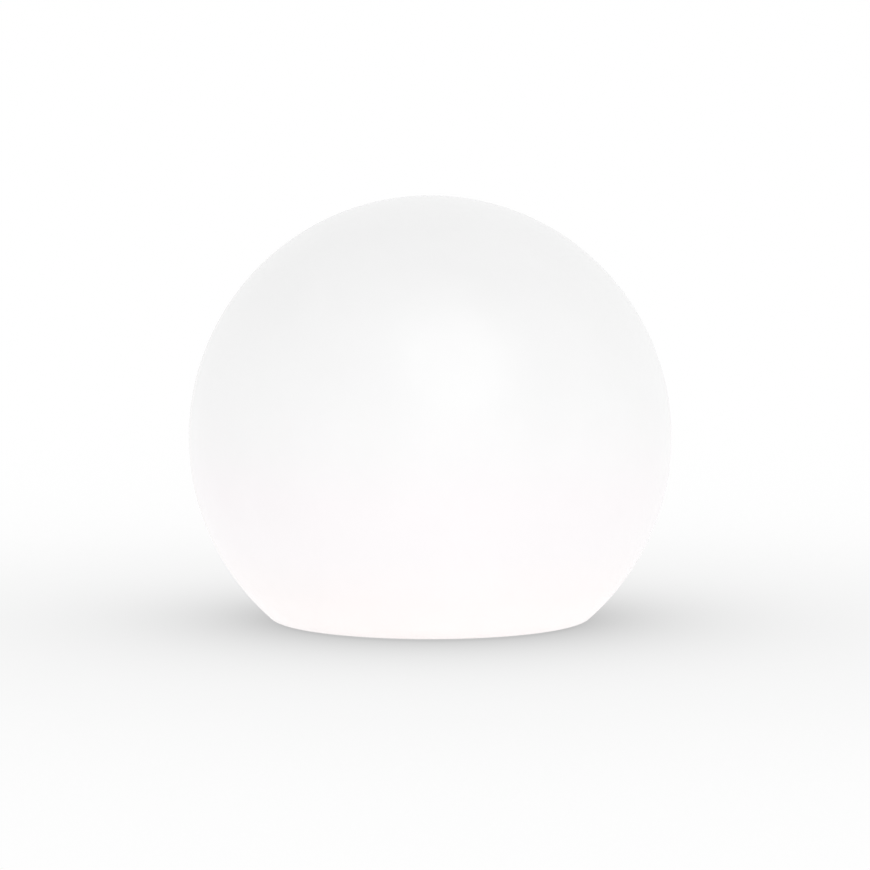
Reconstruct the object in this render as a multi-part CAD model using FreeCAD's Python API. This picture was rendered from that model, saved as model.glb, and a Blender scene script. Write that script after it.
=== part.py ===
import FreeCAD, Part
import math
import os

# A cordless garden globe light: an opal ball, cut flat underneath, that screws onto a
# round weighted base unit with the cells, the board and the light inside it.
# Z points up, the ground is z = 0 and the origin is on the globe's axis.

# ---------------------------------------------------------------------------
# Driving dimensions, in millimetres and degrees
# ---------------------------------------------------------------------------

# Globe
GLOBE_DIAMETER = 300.0
GLOBE_WALL = 3.0
RIM_LAND = 20.6
RIM_ROUND = 6.0
INNER_RIM_ROUND = 3.0
CUP_ROUND = 1.5
RIM_CLEARANCE = 1.5
RECESS_PLAY = 2.0
RECESS_MOUTH_ROUND = 1.2
INSERT_COUNT = 6
INSERT_BOSS_RADIUS = 6.0
INSERT_BOSS_HEIGHT = 8.0
INSERT_RADIUS = 2.6
INSERT_LENGTH = 7.0

# Collar that joins the globe to the base unit
THREAD_STARTS = 3
THREAD_LEAD = 18.0
RIB_ARC = 100.0
RIB_THICKNESS = 2.2
RIB_DEPTH = 3.4
RIB_ROOT = 1.0
THREAD_PLAY = 0.6
THREAD_SLACK = 0.3
COLLAR_WALL = 3.0
COLLAR_FLANGE = 4.5
COLLAR_GASKET = 1.0
SHELL_HOLE_PLAY = 1.5
INSERT_LAND = 8.0
FLANGE_LAND = 6.5
RIB_ABOVE_SHELL = 1.5
COLLAR_LIP = 2.8
COLLAR_SCREW_RADIUS = 1.6
COLLAR_SCREW_HEAD = 3.4
COLLAR_SCREW_HEAD_HEIGHT = 2.2
COLLAR_SCREW_LENGTH = 9.0

# Slip ring and base seal
SLIP_RING = 1.5
SLIP_RING_PLAY = 0.35
SLIP_RING_MARGIN = 3.0
SEAL_WIDTH = 4.0
SEAL_DEPTH = 2.0
SEAL_PROUD = 0.3
SEAL_FROM_NECK = 9.0

# Base housing
NECK_WALL = 2.5
PAN_WALL = 3.0
PAN_TOP = 4.0
PAN_LAND = 5.0
PAN_ROUND = 1.2
DECK = 3.0
POST_RADIUS = 3.4
POST_X = 24.0
POST_FROM_CELLS = 7.3
PLATE_BOSS_RADIUS = 4.0
PLATE_BOSS_GAP = 0.5

# Bottom plate and what closes and carries it
FOOT_HEIGHT = 3.0
FOOT_RADIUS = 7.0
FOOT_RECESS = 0.8
FOOT_CIRCLE = 58.0
FOOT_COUNT = 4
FOOT_ROUND = 0.8
PLATE = 3.0
PLATE_EDGE_PLAY = 0.3
PLATE_ROUND = 0.8
PLATE_GASKET = 1.0
GASKET_WIDTH = 2.2
PLATE_SCREW_COUNT = 6
SMALL_SCREW_RADIUS = 1.25
SMALL_SCREW_HEAD = 2.4
SMALL_SCREW_HEAD_HEIGHT = 1.5
PLATE_SCREW_LENGTH = 8.0
SCREW_PLAY = 0.2

# Ballast
BALLAST_THICKNESS = 5.0
BALLAST_PLAY = 1.5
BALLAST_RIB_WIDTH = 4.0
BALLAST_RIB_HEIGHT = 0.7

# Cells
CELL_RADIUS = 9.2
CELL_LENGTH = 65.2
CELL_GAP = 0.6
CELL_EDGE = 0.5
LEAD_ROOM = 12.9
STRIP_THICKNESS = 0.2
STRIP_HEIGHT = 8.0
TAB_LENGTH = 12.0
TAB_GAP = 4.0
CRADLE_PLATE = 1.6
CRADLE_LIFT = 0.6
CRADLE_EAR = 3.0
CRADLE_EAR_RADIUS = 4.5
CRADLE_ARM = 6.0
CRADLE_MARGIN = 2.3
SADDLE_WIDTH = 3.0
SADDLE_FROM_END = 14.6
END_WALL = 1.6
END_WALL_HEIGHT = 14.0
END_WALL_PLAY = 0.4
END_WALL_SLOT = 10.0
PAD_THICKNESS = 3.2
PAD_PLAY = 0.1
PAD_INSET = 2.6

# Control board and its components
BOARD = 1.6
BOARD_PLAY = 1.5
BOARD_SCREW_LENGTH = 10.0
CONNECTOR_LENGTH = 8.0
CONNECTOR_WIDTH = 7.0
CONNECTOR_HEIGHT = 6.0
CONTROLLER_SIZE = (6.0, 5.0, 1.6)
CONTROLLER_AT = (4.0, 2.0)
CHARGER_SIZE = (4.0, 4.0, 0.9)
CHARGER_AT = (-12.0, 13.0)
INDUCTOR_SIZE = (7.0, 7.0, 4.0)
INDUCTOR_AT = (-15.0, -13.0)
INDUCTOR_CHAMFER = 1.0
INDUCTOR_CORE_RADIUS = 2.6
INDUCTOR_GROOVE = 0.4
CAPACITOR_ROUND = 0.5
CAPACITOR_RADIUS = 3.15
CAPACITOR_HEIGHT = 7.0
CAPACITOR_X = 16.5
CAPACITOR_Y = (11.0, 19.0)
STATUS_LED_SIZE = (1.6, 0.8, 0.6)

# Button
BUTTON_Y = -20.0
BUTTON_RADIUS = 8.0
BUTTON_INSET = 0.2
BUTTON_PLAY = 0.3
BUTTON_FLANGE = 1.6
BUTTON_FLANGE_HEIGHT = 1.2
BUTTON_TRAVEL = 1.2
BUTTON_END_GAP = 0.3
BUTTON_DISH_DEPTH = 0.8
BUTTON_ROUND = 0.5
STEM_RADIUS = 3.0
STEM_PROUD = 0.2
GUIDE_PLAY = 0.4
GUIDE_WALL = 2.0
GUIDE_HEIGHT = 5.5
RETAINER = 1.2
LUG_RADIUS = 2.5
LUG_SCREW_RADIUS = 0.9
LUG_SCREW_HEAD = 1.8
LUG_SCREW_HEAD_HEIGHT = 1.0
LUG_SCREW_LENGTH = 4.0
SPRING_WIRE = 0.3
SPRING_RADIUS = 4.6
SPRING_TURNS = 4
BUTTON_SEAL_WIDTH = 1.2
BUTTON_SEAL_HEIGHT = 1.0
BUTTON_SEAL_PLAY = 0.05
SWITCH_SIZE = 6.0
SWITCH_BODY = 3.4
SWITCH_PLUNGER = 0.7
SWITCH_PLUNGER_RADIUS = 1.7

# Charging port and its flap
PORT_Y = 24.0
PORT_WELL_LENGTH = 16.0
PORT_WELL_WIDTH = 9.0
PORT_WELL_WALL = 1.5
PORT_WELL_FLOOR = 1.5
PORT_WELL_DEPTH = 5.3
PORT_BLOCK_HEIGHT = 3.0
PORT_BLOCK_MARGIN = 4.0
FLAP_END_LAP = 5.0
FLAP_EDGE_ROUND = 0.4
FLAP_THICKNESS = 1.8
FLAP_OVERLAP = 2.5
FLAP_PLAY = 0.3
FLAP_GASKET = 0.6
FLAP_GASKET_WIDTH = 1.2
FLAP_BARREL_RADIUS = 1.4
FLAP_SWING_PLAY = 0.4
FLAP_PIN_RADIUS = 0.6
FLAP_PIN_PLAY = 0.05
FLAP_PIN_BITE = 2.0
FLAP_NOTCH_RADIUS = 3.0
SOCKET_LENGTH = 9.0
SOCKET_WIDTH = 3.3
SOCKET_WALL = 0.35
SOCKET_ROUND = 1.3
SOCKET_DEPTH = 6.0
SOCKET_TONGUE = (6.7, 0.7)
SOCKET_SEAL = 1.0

# Status light and vent
STATUS_AT = (22.0, -8.0)
LIGHT_PIPE_RADIUS = 1.5
LIGHT_PIPE_COLLAR = 2.6
LIGHT_PIPE_COLLAR_HEIGHT = 1.0
LIGHT_PIPE_GAP = 0.3
VENT_AT = (-22.0, -8.0)
VENT_RADIUS = 3.0
VENT_FLANGE_RADIUS = 4.5
VENT_FLANGE = 1.0
VENT_LENGTH = 5.0
VENT_INSET = 0.4
VENT_BORE = 1.2

# Light source
HEAT_SINK_HEIGHT = 5.0
HEAT_SINK_BASE = 2.0
HEAT_SINK_FIN_COUNT = 36
HEAT_SINK_SLOT_WIDTH = 2.0
HEAT_SINK_SLOT_DEPTH = 5.0
THERMAL_PAD = 0.3
THERMAL_PAD_BORDER = 1.0
SINK_BORDER = 2.0
LED_BOARD = 1.6
LED_SIZE = 5.0
LED_HEIGHT = 1.6
LED_LENS_RADIUS = 2.0
LED_LENS_DEPTH = 0.3
OUTER_LED_COUNT = 12
OUTER_LED_INSET = 7.0
INNER_LED_COUNT = 6
INNER_LED_CIRCLE = 11.0
LED_SCREW_COUNT = 3
LED_SCREW_INSET = 3.0
LED_SCREW_ANGLE = 90.0
LED_SCREW_END_WALL = 0.4

# Light dome
DOME_HEIGHT = 30.0
DOME_WALL = 2.0
DOME_FLANGE = 2.5
DOME_GASKET = 1.0
DOME_EDGE = 0.8
DOME_SCREW_COUNT = 6
DOME_SCREW_ANGLE = 30.0
DOME_SCREW_LENGTH = 7.5
DOME_BOSS_RADIUS = 3.0
DOME_BOSS_HEIGHT = 4.0

# Leads
LEAD_RADIUS = 0.7
LEAD_PITCH = 2.6
CELL_LEAD_PITCH = 6.0
LED_LEAD_PAST_CELLS = 1.9
LED_LEAD_RUN = 10.5
CELL_LEAD_PAST_CELLS = 5.9
CELL_LEAD_RUN = 12.5
LEAD_BEND = 4.5
LEAD_SLOT_PLAY = 0.8
GROMMET_RADIUS = 2.6
GROMMET_FLANGE_RADIUS = 3.4
GROMMET_FLANGE = 1.0
GROMMET_PLAY = 1.1

TOUCH = 1e-4
BEYOND = 1.0

# ---------------------------------------------------------------------------
# Radii worked out from those sizes, from the inside outwards
# ---------------------------------------------------------------------------

neck_inside = CELL_LENGTH / 2 + LEAD_ROOM
neck_outside = neck_inside + NECK_WALL
base_rib_tip = neck_outside + RIB_DEPTH
collar_inside = base_rib_tip + THREAD_PLAY
collar_rib_tip = neck_outside + THREAD_PLAY
collar_outside = collar_inside + COLLAR_WALL
shell_hole = collar_outside + SHELL_HOLE_PLAY
insert_circle = shell_hole + INSERT_LAND
flange_radius = insert_circle + FLANGE_LAND
pan_radius = flange_radius + PAN_LAND
recess_radius = pan_radius + RECESS_PLAY
plate_boss_circle = pan_radius - PAN_WALL - PLATE_BOSS_RADIUS - PLATE_BOSS_GAP
ballast_inside = neck_inside + BALLAST_PLAY
ballast_outside = plate_boss_circle - PLATE_BOSS_RADIUS - BALLAST_PLAY
seal_inside = neck_outside + SEAL_FROM_NECK
slip_inside = neck_outside + SLIP_RING_PLAY
slip_outside = flange_radius - SLIP_RING_MARGIN
board_radius = neck_inside - BOARD_PLAY
globe_radius = GLOBE_DIAMETER / 2
globe_flat_radius = recess_radius + RIM_LAND
centre_above_flat = math.sqrt(globe_radius ** 2 - globe_flat_radius ** 2)

cell_end = CELL_LENGTH / 2
cell_y = CELL_RADIUS + CELL_GAP / 2
post_y = cell_y + CELL_RADIUS + POST_FROM_CELLS
saddle_x = cell_end - SADDLE_FROM_END
led_lead_x = cell_end + LED_LEAD_PAST_CELLS
cell_lead_x = -cell_end - CELL_LEAD_PAST_CELLS
led_connector_x = led_lead_x - LED_LEAD_RUN - CONNECTOR_LENGTH / 2
cell_connector_x = cell_lead_x + CELL_LEAD_RUN + CONNECTOR_LENGTH / 2
heat_sink_radius = led_lead_x - GROMMET_FLANGE_RADIUS - GROMMET_PLAY
led_board_radius = heat_sink_radius - SINK_BORDER
outer_led_circle = led_board_radius - OUTER_LED_INSET
led_screw_circle = led_board_radius - LED_SCREW_INSET
led_pad_x = led_lead_x - LED_LEAD_RUN
dome_radius = led_lead_x + GROMMET_FLANGE_RADIUS + GROMMET_PLAY + DOME_WALL
dome_edge = neck_outside - DOME_EDGE
dome_screw_circle = (dome_radius + dome_edge) / 2
flap_length = PORT_WELL_LENGTH + 2 * FLAP_END_LAP
flap_pin_length = flap_length + 2 * FLAP_PIN_BITE

# ---------------------------------------------------------------------------
# Heights worked out from those sizes, from the ground upwards
# ---------------------------------------------------------------------------

plate_bottom = FOOT_HEIGHT
plate_top = plate_bottom + PLATE
pan_bottom = plate_top + PLATE_GASKET
ballast_bottom = plate_top + BALLAST_RIB_HEIGHT
pan_ceiling = ballast_bottom + BALLAST_THICKNESS
pan_top = pan_ceiling + PAN_TOP
seal_top = pan_top + SEAL_PROUD
slip_top = seal_top + SLIP_RING
flange_top = slip_top + COLLAR_FLANGE
shell_ceiling = flange_top + COLLAR_GASKET
shell_floor = shell_ceiling + GLOBE_WALL
rib_rise = THREAD_LEAD * RIB_ARC / 360.0
collar_rib_bottom = shell_floor + RIB_ABOVE_SHELL
collar_top = collar_rib_bottom + rib_rise + RIB_THICKNESS + COLLAR_LIP
base_rib_bottom = collar_rib_bottom + RIB_THICKNESS + THREAD_SLACK
globe_flat = RIM_CLEARANCE
globe_centre = globe_flat + centre_above_flat

button_bottom = plate_bottom + BUTTON_INSET
button_shoulder = plate_top + BUTTON_FLANGE_HEIGHT
guide_top = plate_top + GUIDE_HEIGHT
retainer_top = guide_top + RETAINER
stem_top = retainer_top + STEM_PROUD
plunger_tip = stem_top + BUTTON_TRAVEL + BUTTON_END_GAP
board_bottom = plunger_tip + SWITCH_PLUNGER + SWITCH_BODY
board_top = board_bottom + BOARD

ear_top = board_top + CRADLE_EAR
cradle_bottom = board_top + CRADLE_LIFT
cradle_top = cradle_bottom + CRADLE_PLATE
cell_axis = cradle_top + CELL_RADIUS
pad_bottom = cell_axis + CELL_RADIUS + PAD_PLAY
deck_bottom = pad_bottom + PAD_THICKNESS
deck_top = deck_bottom + DECK

sink_top = deck_top + HEAT_SINK_HEIGHT
led_board_bottom = sink_top + THERMAL_PAD
led_board_top = led_board_bottom + LED_BOARD
dome_bottom = deck_top + DOME_GASKET
dome_shoulder = dome_bottom + DOME_FLANGE

port_low_y = PORT_Y - PORT_WELL_WIDTH / 2 - FLAP_OVERLAP
flap_axis_y = PORT_Y + PORT_WELL_WIDTH / 2 + FLAP_OVERLAP + FLAP_BARREL_RADIUS
flap_axis_z = plate_bottom + FLAP_BARREL_RADIUS
flap_top = plate_bottom + FLAP_THICKNESS
port_ledge = flap_top + FLAP_GASKET
port_floor = port_ledge + PORT_WELL_DEPTH
port_floor_top = port_floor + PORT_WELL_FLOOR
connector_lead_z = board_bottom - CONNECTOR_HEIGHT / 2
button_hole = BUTTON_RADIUS + BUTTON_PLAY
button_flange_radius = BUTTON_RADIUS + BUTTON_FLANGE
guide_inside = button_flange_radius + GUIDE_PLAY
guide_outside = guide_inside + GUIDE_WALL
lug_x = guide_outside + LUG_RADIUS / 2


# ---------------------------------------------------------------------------
# Small helpers
# ---------------------------------------------------------------------------

def point(x, y, z):
    return FreeCAD.Vector(x, y, z)


UP = point(0, 0, 1)


def cylinder(radius, bottom, top, x=0.0, y=0.0):
    return Part.makeCylinder(radius, top - bottom, point(x, y, bottom))


def ring(inside, outside, bottom, top, x=0.0, y=0.0):
    bore = cylinder(inside, bottom - BEYOND, top + BEYOND, x, y)
    return cylinder(outside, bottom, top, x, y).cut(bore)


def block(low_x, high_x, low_y, high_y, low_z, high_z):
    return Part.makeBox(high_x - low_x, high_y - low_y, high_z - low_z, point(low_x, low_y, low_z))


def centred_block(x, y, length, width, low_z, high_z):
    return block(x - length / 2, x + length / 2, y - width / 2, y + width / 2, low_z, high_z)


def on_circle(count, radius, start=0.0):
    """Evenly spaced (x, y) places round the axis."""
    places = []
    for index in range(count):
        angle = math.radians(start + 360.0 * index / count)
        places.append((radius * math.cos(angle), radius * math.sin(angle)))
    return places


def join(shapes):
    return shapes[0].fuse(shapes[1:]).removeSplitter()


def remove(shape, tools):
    return shape.cut(Part.makeCompound(tools))


def circles(shape, radius, height):
    """The round edges about the main axis that have one radius and lie at one height."""
    found = []
    for edge in shape.Edges:
        if edge.Degenerated or not isinstance(edge.Curve, Part.Circle):
            continue
        curve = edge.Curve
        centre = curve.Center
        off_axis = math.hypot(centre.x, centre.y)
        if off_axis < TOUCH and abs(centre.z - height) < TOUCH and abs(curve.Radius - radius) < TOUCH:
            found.append(edge)
    return found


def edges_at(shape, height):
    """The edges of a solid that lie wholly at one height."""
    found = []
    for edge in shape.Edges:
        span = edge.BoundBox
        if abs(span.ZMin - height) < TOUCH and abs(span.ZMax - height) < TOUCH:
            found.append(edge)
    return found


def screw(x, y, seat, shank, length, head, head_height, down=True):
    """One socket-head screw; its head lies on the seat and its shank runs the other way."""
    body = cylinder(shank, -length, 0)
    cap = cylinder(head, 0, head_height)
    corners = [point(px, py, head_height / 2) for px, py in on_circle(6, head / 2)]
    socket = Part.Face(Part.makePolygon(corners + corners[:1])).extrude(UP * head_height)
    whole = body.fuse(cap).cut(socket)
    if not down:
        whole.rotate(point(0, 0, 0), point(1, 0, 0), 180)
    whole.translate(point(x, y, seat))
    return whole


def helical_ribs(inside, outside, bottom):
    """Equal ribs, each a rectangle carried up round the axis on one screw line."""
    corners = [
        point(inside, 0, bottom),
        point(outside, 0, bottom),
        point(outside, 0, bottom + RIB_THICKNESS),
        point(inside, 0, bottom + RIB_THICKNESS),
        point(inside, 0, bottom),
    ]
    line = Part.makeHelix(THREAD_LEAD, rib_rise, (inside + outside) / 2)
    line.translate(UP * bottom)
    ribs = []
    for index in range(THREAD_STARTS):
        rib = Part.Wire(line.Edges).makePipeShell([Part.makePolygon(corners)], True, True)
        rib.rotate(point(0, 0, 0), UP, 360.0 * index / THREAD_STARTS)
        ribs.append(rib)
    return ribs


def lead(stops):
    """A round lead through a few points, with each corner turned by a tangent arc."""
    edges = []
    start = stops[0]
    for before, corner, after in zip(stops, stops[1:], stops[2:]):
        way_in = (corner - before).normalize()
        way_out = (after - corner).normalize()
        half_turn = way_in.getAngle(way_out) / 2
        room = 0.45 * min((corner - before).Length, (after - corner).Length)
        radius = min(LEAD_BEND, room / math.tan(half_turn))
        reach = radius * math.tan(half_turn)
        arc_start = corner - way_in * reach
        arc_end = corner + way_out * reach
        towards_centre = (way_out - way_in).normalize()
        depth = radius / math.cos(half_turn) - radius
        arc_middle = corner + towards_centre * depth
        edges.append(Part.LineSegment(start, arc_start).toShape())
        edges.append(Part.Arc(arc_start, arc_middle, arc_end).toShape())
        start = arc_end
    edges.append(Part.LineSegment(start, stops[-1]).toShape())
    first_way = stops[1] - stops[0]
    section = Part.Wire([Part.makeCircle(LEAD_RADIUS, stops[0], first_way)])
    return Part.Wire(edges).makePipeShell([section], True, True)


# ---------------------------------------------------------------------------
# Globe
# ---------------------------------------------------------------------------

def flat_ball(radius, flat, edge_round):
    """A ball about the globe's centre, cut flat below and rounded along the cut."""
    ball = Part.makeSphere(radius, point(0, 0, globe_centre))
    waste = block(-radius, radius, -radius, radius, flat - 2 * radius, flat)
    cut = ball.cut(waste)
    flat_radius = math.sqrt(radius ** 2 - (globe_centre - flat) ** 2)
    return cut.makeFillet(edge_round, circles(cut, flat_radius, flat))


def globe_shell():
    inside_flat = globe_flat + GLOBE_WALL
    outside = flat_ball(globe_radius, globe_flat, RIM_ROUND)
    inside = flat_ball(globe_radius - GLOBE_WALL, inside_flat, INNER_RIM_ROUND)
    walls = outside.cut(inside)
    cup = cylinder(recess_radius + GLOBE_WALL, globe_flat + GLOBE_WALL / 2, shell_floor)
    cup_top = circles(cup, recess_radius + GLOBE_WALL, shell_floor)
    cup = cup.makeFillet(CUP_ROUND, cup_top)
    bosses = []
    pockets = []
    for x, y in on_circle(INSERT_COUNT, insert_circle):
        boss_top = shell_ceiling + INSERT_BOSS_HEIGHT + GLOBE_WALL / 2
        bosses.append(cylinder(INSERT_BOSS_RADIUS, shell_ceiling, boss_top, x, y))
        pockets.append(cylinder(INSERT_RADIUS, shell_ceiling - BEYOND, shell_ceiling + INSERT_LENGTH, x, y))
    walls = join([walls, cup] + bosses)
    recess = cylinder(recess_radius, globe_flat - BEYOND, shell_ceiling)
    neck_hole = cylinder(shell_hole, globe_flat, shell_floor + BEYOND)
    walls = remove(walls, pockets).cut(recess).cut(neck_hole)
    return walls.makeFillet(RECESS_MOUTH_ROUND, circles(walls, recess_radius, globe_flat))


def brass_inserts():
    inserts = []
    for x, y in on_circle(INSERT_COUNT, insert_circle):
        top = shell_ceiling + INSERT_LENGTH
        inserts.append(ring(COLLAR_SCREW_RADIUS, INSERT_RADIUS, shell_ceiling, top, x, y))
    return Part.makeCompound(inserts)


def collar_gasket():
    gasket = ring(shell_hole, flange_radius, flange_top, shell_ceiling)
    holes = []
    for x, y in on_circle(INSERT_COUNT, insert_circle):
        hole = COLLAR_SCREW_RADIUS + SCREW_PLAY
        holes.append(cylinder(hole, flange_top - BEYOND, shell_ceiling + BEYOND, x, y))
    return remove(gasket, holes)


def neck_collar():
    tube = ring(collar_inside, collar_outside, slip_top, collar_top)
    flange = ring(collar_inside, flange_radius, slip_top, flange_top)
    ribs = helical_ribs(collar_rib_tip, collar_inside + RIB_ROOT, collar_rib_bottom)
    body = join([tube, flange] + ribs)
    holes = []
    for x, y in on_circle(INSERT_COUNT, insert_circle):
        head_top = slip_top + COLLAR_SCREW_HEAD_HEIGHT
        shank = COLLAR_SCREW_RADIUS + SCREW_PLAY
        holes.append(cylinder(shank, slip_top - BEYOND, flange_top + BEYOND, x, y))
        holes.append(cylinder(COLLAR_SCREW_HEAD + SCREW_PLAY, slip_top - BEYOND, head_top, x, y))
    return remove(body, holes)


def collar_screws():
    seat = slip_top + COLLAR_SCREW_HEAD_HEIGHT
    screws = []
    for x, y in on_circle(INSERT_COUNT, insert_circle):
        screws.append(screw(x, y, seat, COLLAR_SCREW_RADIUS, COLLAR_SCREW_LENGTH, COLLAR_SCREW_HEAD,
                            COLLAR_SCREW_HEAD_HEIGHT, down=False))
    return Part.makeCompound(screws)


# ---------------------------------------------------------------------------
# Slip ring and seal between globe and base unit
# ---------------------------------------------------------------------------

def slip_ring():
    return ring(slip_inside, slip_outside, seal_top, slip_top)


def base_seal():
    return ring(seal_inside, seal_inside + SEAL_WIDTH, pan_top - SEAL_DEPTH, seal_top)


# ---------------------------------------------------------------------------
# Base unit: housing, plate, feet and ballast
# ---------------------------------------------------------------------------

def post_places():
    return [(x, y) for x in (-POST_X, POST_X) for y in (-post_y, post_y)]


def base_housing():
    pan = cylinder(pan_radius, pan_bottom, pan_top)
    pan = pan.makeFillet(PAN_ROUND, circles(pan, pan_radius, pan_top))
    pan = pan.cut(cylinder(pan_radius - PAN_WALL, pan_bottom - BEYOND, pan_ceiling))
    neck = cylinder(neck_outside, pan_ceiling, deck_top)
    body = join([pan, neck])
    body = body.cut(cylinder(neck_inside, pan_ceiling - BEYOND, deck_bottom))
    solids = [body] + helical_ribs(neck_outside - RIB_ROOT, base_rib_tip, base_rib_bottom)
    holes = [ring(seal_inside, seal_inside + SEAL_WIDTH, pan_top - SEAL_DEPTH, pan_top + BEYOND)]
    for x, y in on_circle(PLATE_SCREW_COUNT, plate_boss_circle):
        solids.append(cylinder(PLATE_BOSS_RADIUS, plate_top, pan_ceiling + PAN_TOP / 2, x, y))
        bore_top = plate_top + PLATE_SCREW_LENGTH - PLATE
        holes.append(cylinder(SMALL_SCREW_RADIUS, plate_top - BEYOND, bore_top, x, y))
    for x, y in post_places():
        solids.append(cylinder(POST_RADIUS, ear_top, deck_bottom + DECK / 2, x, y))
        holes.append(cylinder(SMALL_SCREW_RADIUS, ear_top - BEYOND, board_bottom + BOARD_SCREW_LENGTH, x, y))
    for x, y in on_circle(DOME_SCREW_COUNT, dome_screw_circle, DOME_SCREW_ANGLE):
        boss_bottom = deck_bottom - DOME_BOSS_HEIGHT
        bore_bottom = dome_shoulder - DOME_SCREW_LENGTH
        solids.append(cylinder(DOME_BOSS_RADIUS, boss_bottom, deck_bottom + DECK / 2, x, y))
        holes.append(cylinder(SMALL_SCREW_RADIUS, bore_bottom, deck_top + BEYOND, x, y))
    for x, y in led_screw_places():
        bore_bottom = deck_bottom + LED_SCREW_END_WALL
        holes.append(cylinder(SMALL_SCREW_RADIUS, bore_bottom, deck_top + BEYOND, x, y))
    holes.append(cylinder(GROMMET_RADIUS, deck_bottom - BEYOND, deck_top + BEYOND, led_lead_x, 0))
    return remove(join(solids), holes)


def port_recess():
    """The hollow in the plate that the flap and its barrel lie and swing in."""
    half = flap_length / 2 + FLAP_PLAY
    swing = FLAP_BARREL_RADIUS + FLAP_SWING_PLAY
    seat = block(-half, half, port_low_y - FLAP_PLAY, flap_axis_y, plate_bottom - BEYOND, port_ledge)
    barrel_room = block(-half, half, flap_axis_y - swing, flap_axis_y + swing, plate_bottom - BEYOND,
                        flap_axis_z + swing)
    notch = cylinder(FLAP_NOTCH_RADIUS, plate_bottom - BEYOND, flap_top, 0, port_low_y)
    return [seat, barrel_room, notch]


def flap_pin_bar(radius, length):
    bar = Part.makeCylinder(radius, length, point(-length / 2, flap_axis_y, flap_axis_z), point(1, 0, 0))
    return bar


def bottom_plate():
    disc = cylinder(pan_radius - PLATE_EDGE_PLAY, plate_bottom, plate_top)
    disc = disc.makeFillet(PLATE_ROUND, circles(disc, pan_radius - PLATE_EDGE_PLAY, plate_bottom))
    rib_middle = (ballast_inside + ballast_outside) / 2
    solids = [disc, ring(rib_middle - BALLAST_RIB_WIDTH / 2, rib_middle + BALLAST_RIB_WIDTH / 2,
                         plate_top - PLATE / 2, ballast_bottom)]
    solids.append(cylinder(guide_outside, plate_top, guide_top, 0, BUTTON_Y))
    for side in (-1, 1):
        solids.append(cylinder(LUG_RADIUS, plate_top, guide_top, side * lug_x, BUTTON_Y))
    half = flap_length / 2 + PORT_BLOCK_MARGIN
    block_top = plate_top + PORT_BLOCK_HEIGHT
    solids.append(block(-half, half, port_low_y - PORT_BLOCK_MARGIN, flap_axis_y + PORT_BLOCK_MARGIN,
                        plate_top, block_top))
    solids.append(centred_block(0, PORT_Y, PORT_WELL_LENGTH + 2 * PORT_WELL_WALL,
                                PORT_WELL_WIDTH + 2 * PORT_WELL_WALL, plate_top, port_floor_top))
    hole_top = guide_top + BEYOND
    holes = [cylinder(button_hole, plate_bottom - BEYOND, hole_top, 0, BUTTON_Y)]
    holes.append(cylinder(guide_inside, plate_top, hole_top, 0, BUTTON_Y))
    seal_outside = BUTTON_RADIUS + BUTTON_SEAL_PLAY + BUTTON_SEAL_WIDTH
    seal_bottom = button_seal_bottom()
    holes.append(cylinder(seal_outside, seal_bottom, seal_bottom + BUTTON_SEAL_HEIGHT, 0, BUTTON_Y))
    bore_bottom = retainer_top - LUG_SCREW_LENGTH
    for side in (-1, 1):
        holes.append(cylinder(LUG_SCREW_RADIUS, bore_bottom, hole_top, side * lug_x, BUTTON_Y))
    holes += port_recess()
    holes.append(flap_pin_bar(FLAP_PIN_RADIUS, flap_pin_length))
    holes.append(centred_block(0, PORT_Y, PORT_WELL_LENGTH, PORT_WELL_WIDTH,
                               plate_bottom - BEYOND, port_floor))
    holes.append(centred_block(0, PORT_Y, SOCKET_LENGTH + 2 * SOCKET_SEAL, SOCKET_WIDTH + 2 * SOCKET_SEAL,
                               plate_bottom, port_floor_top + BEYOND))
    for x, y in on_circle(PLATE_SCREW_COUNT, plate_boss_circle):
        head_top = plate_bottom + SMALL_SCREW_HEAD_HEIGHT
        holes.append(cylinder(SMALL_SCREW_HEAD + SCREW_PLAY, plate_bottom - BEYOND, head_top, x, y))
        holes.append(cylinder(SMALL_SCREW_RADIUS + SCREW_PLAY, plate_bottom, plate_top + BEYOND, x, y))
    for x, y in foot_places():
        holes.append(cylinder(FOOT_RADIUS, plate_bottom - BEYOND, plate_bottom + FOOT_RECESS, x, y))
    holes.append(cylinder(LIGHT_PIPE_RADIUS, plate_bottom - BEYOND, hole_top, *STATUS_AT))
    holes.append(cylinder(VENT_RADIUS, plate_bottom - BEYOND, hole_top, *VENT_AT))
    return remove(join(solids), holes)


def plate_gasket():
    outside = pan_radius - PLATE_EDGE_PLAY
    return ring(outside - GASKET_WIDTH, outside, plate_top, pan_bottom)


def plate_screws():
    seat = plate_bottom + SMALL_SCREW_HEAD_HEIGHT
    screws = []
    for x, y in on_circle(PLATE_SCREW_COUNT, plate_boss_circle):
        screws.append(screw(x, y, seat, SMALL_SCREW_RADIUS, PLATE_SCREW_LENGTH - PLATE, SMALL_SCREW_HEAD,
                            SMALL_SCREW_HEAD_HEIGHT, down=False))
    return Part.makeCompound(screws)


def foot_places():
    return on_circle(FOOT_COUNT, FOOT_CIRCLE, 180.0 / FOOT_COUNT)


def rubber_feet():
    feet = []
    for x, y in foot_places():
        foot = cylinder(FOOT_RADIUS, 0, plate_bottom + FOOT_RECESS, x, y)
        feet.append(foot.makeFillet(FOOT_ROUND, edges_at(foot, 0)))
    return Part.makeCompound(feet)


def ballast_ring():
    return ring(ballast_inside, ballast_outside, ballast_bottom, pan_ceiling)


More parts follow.
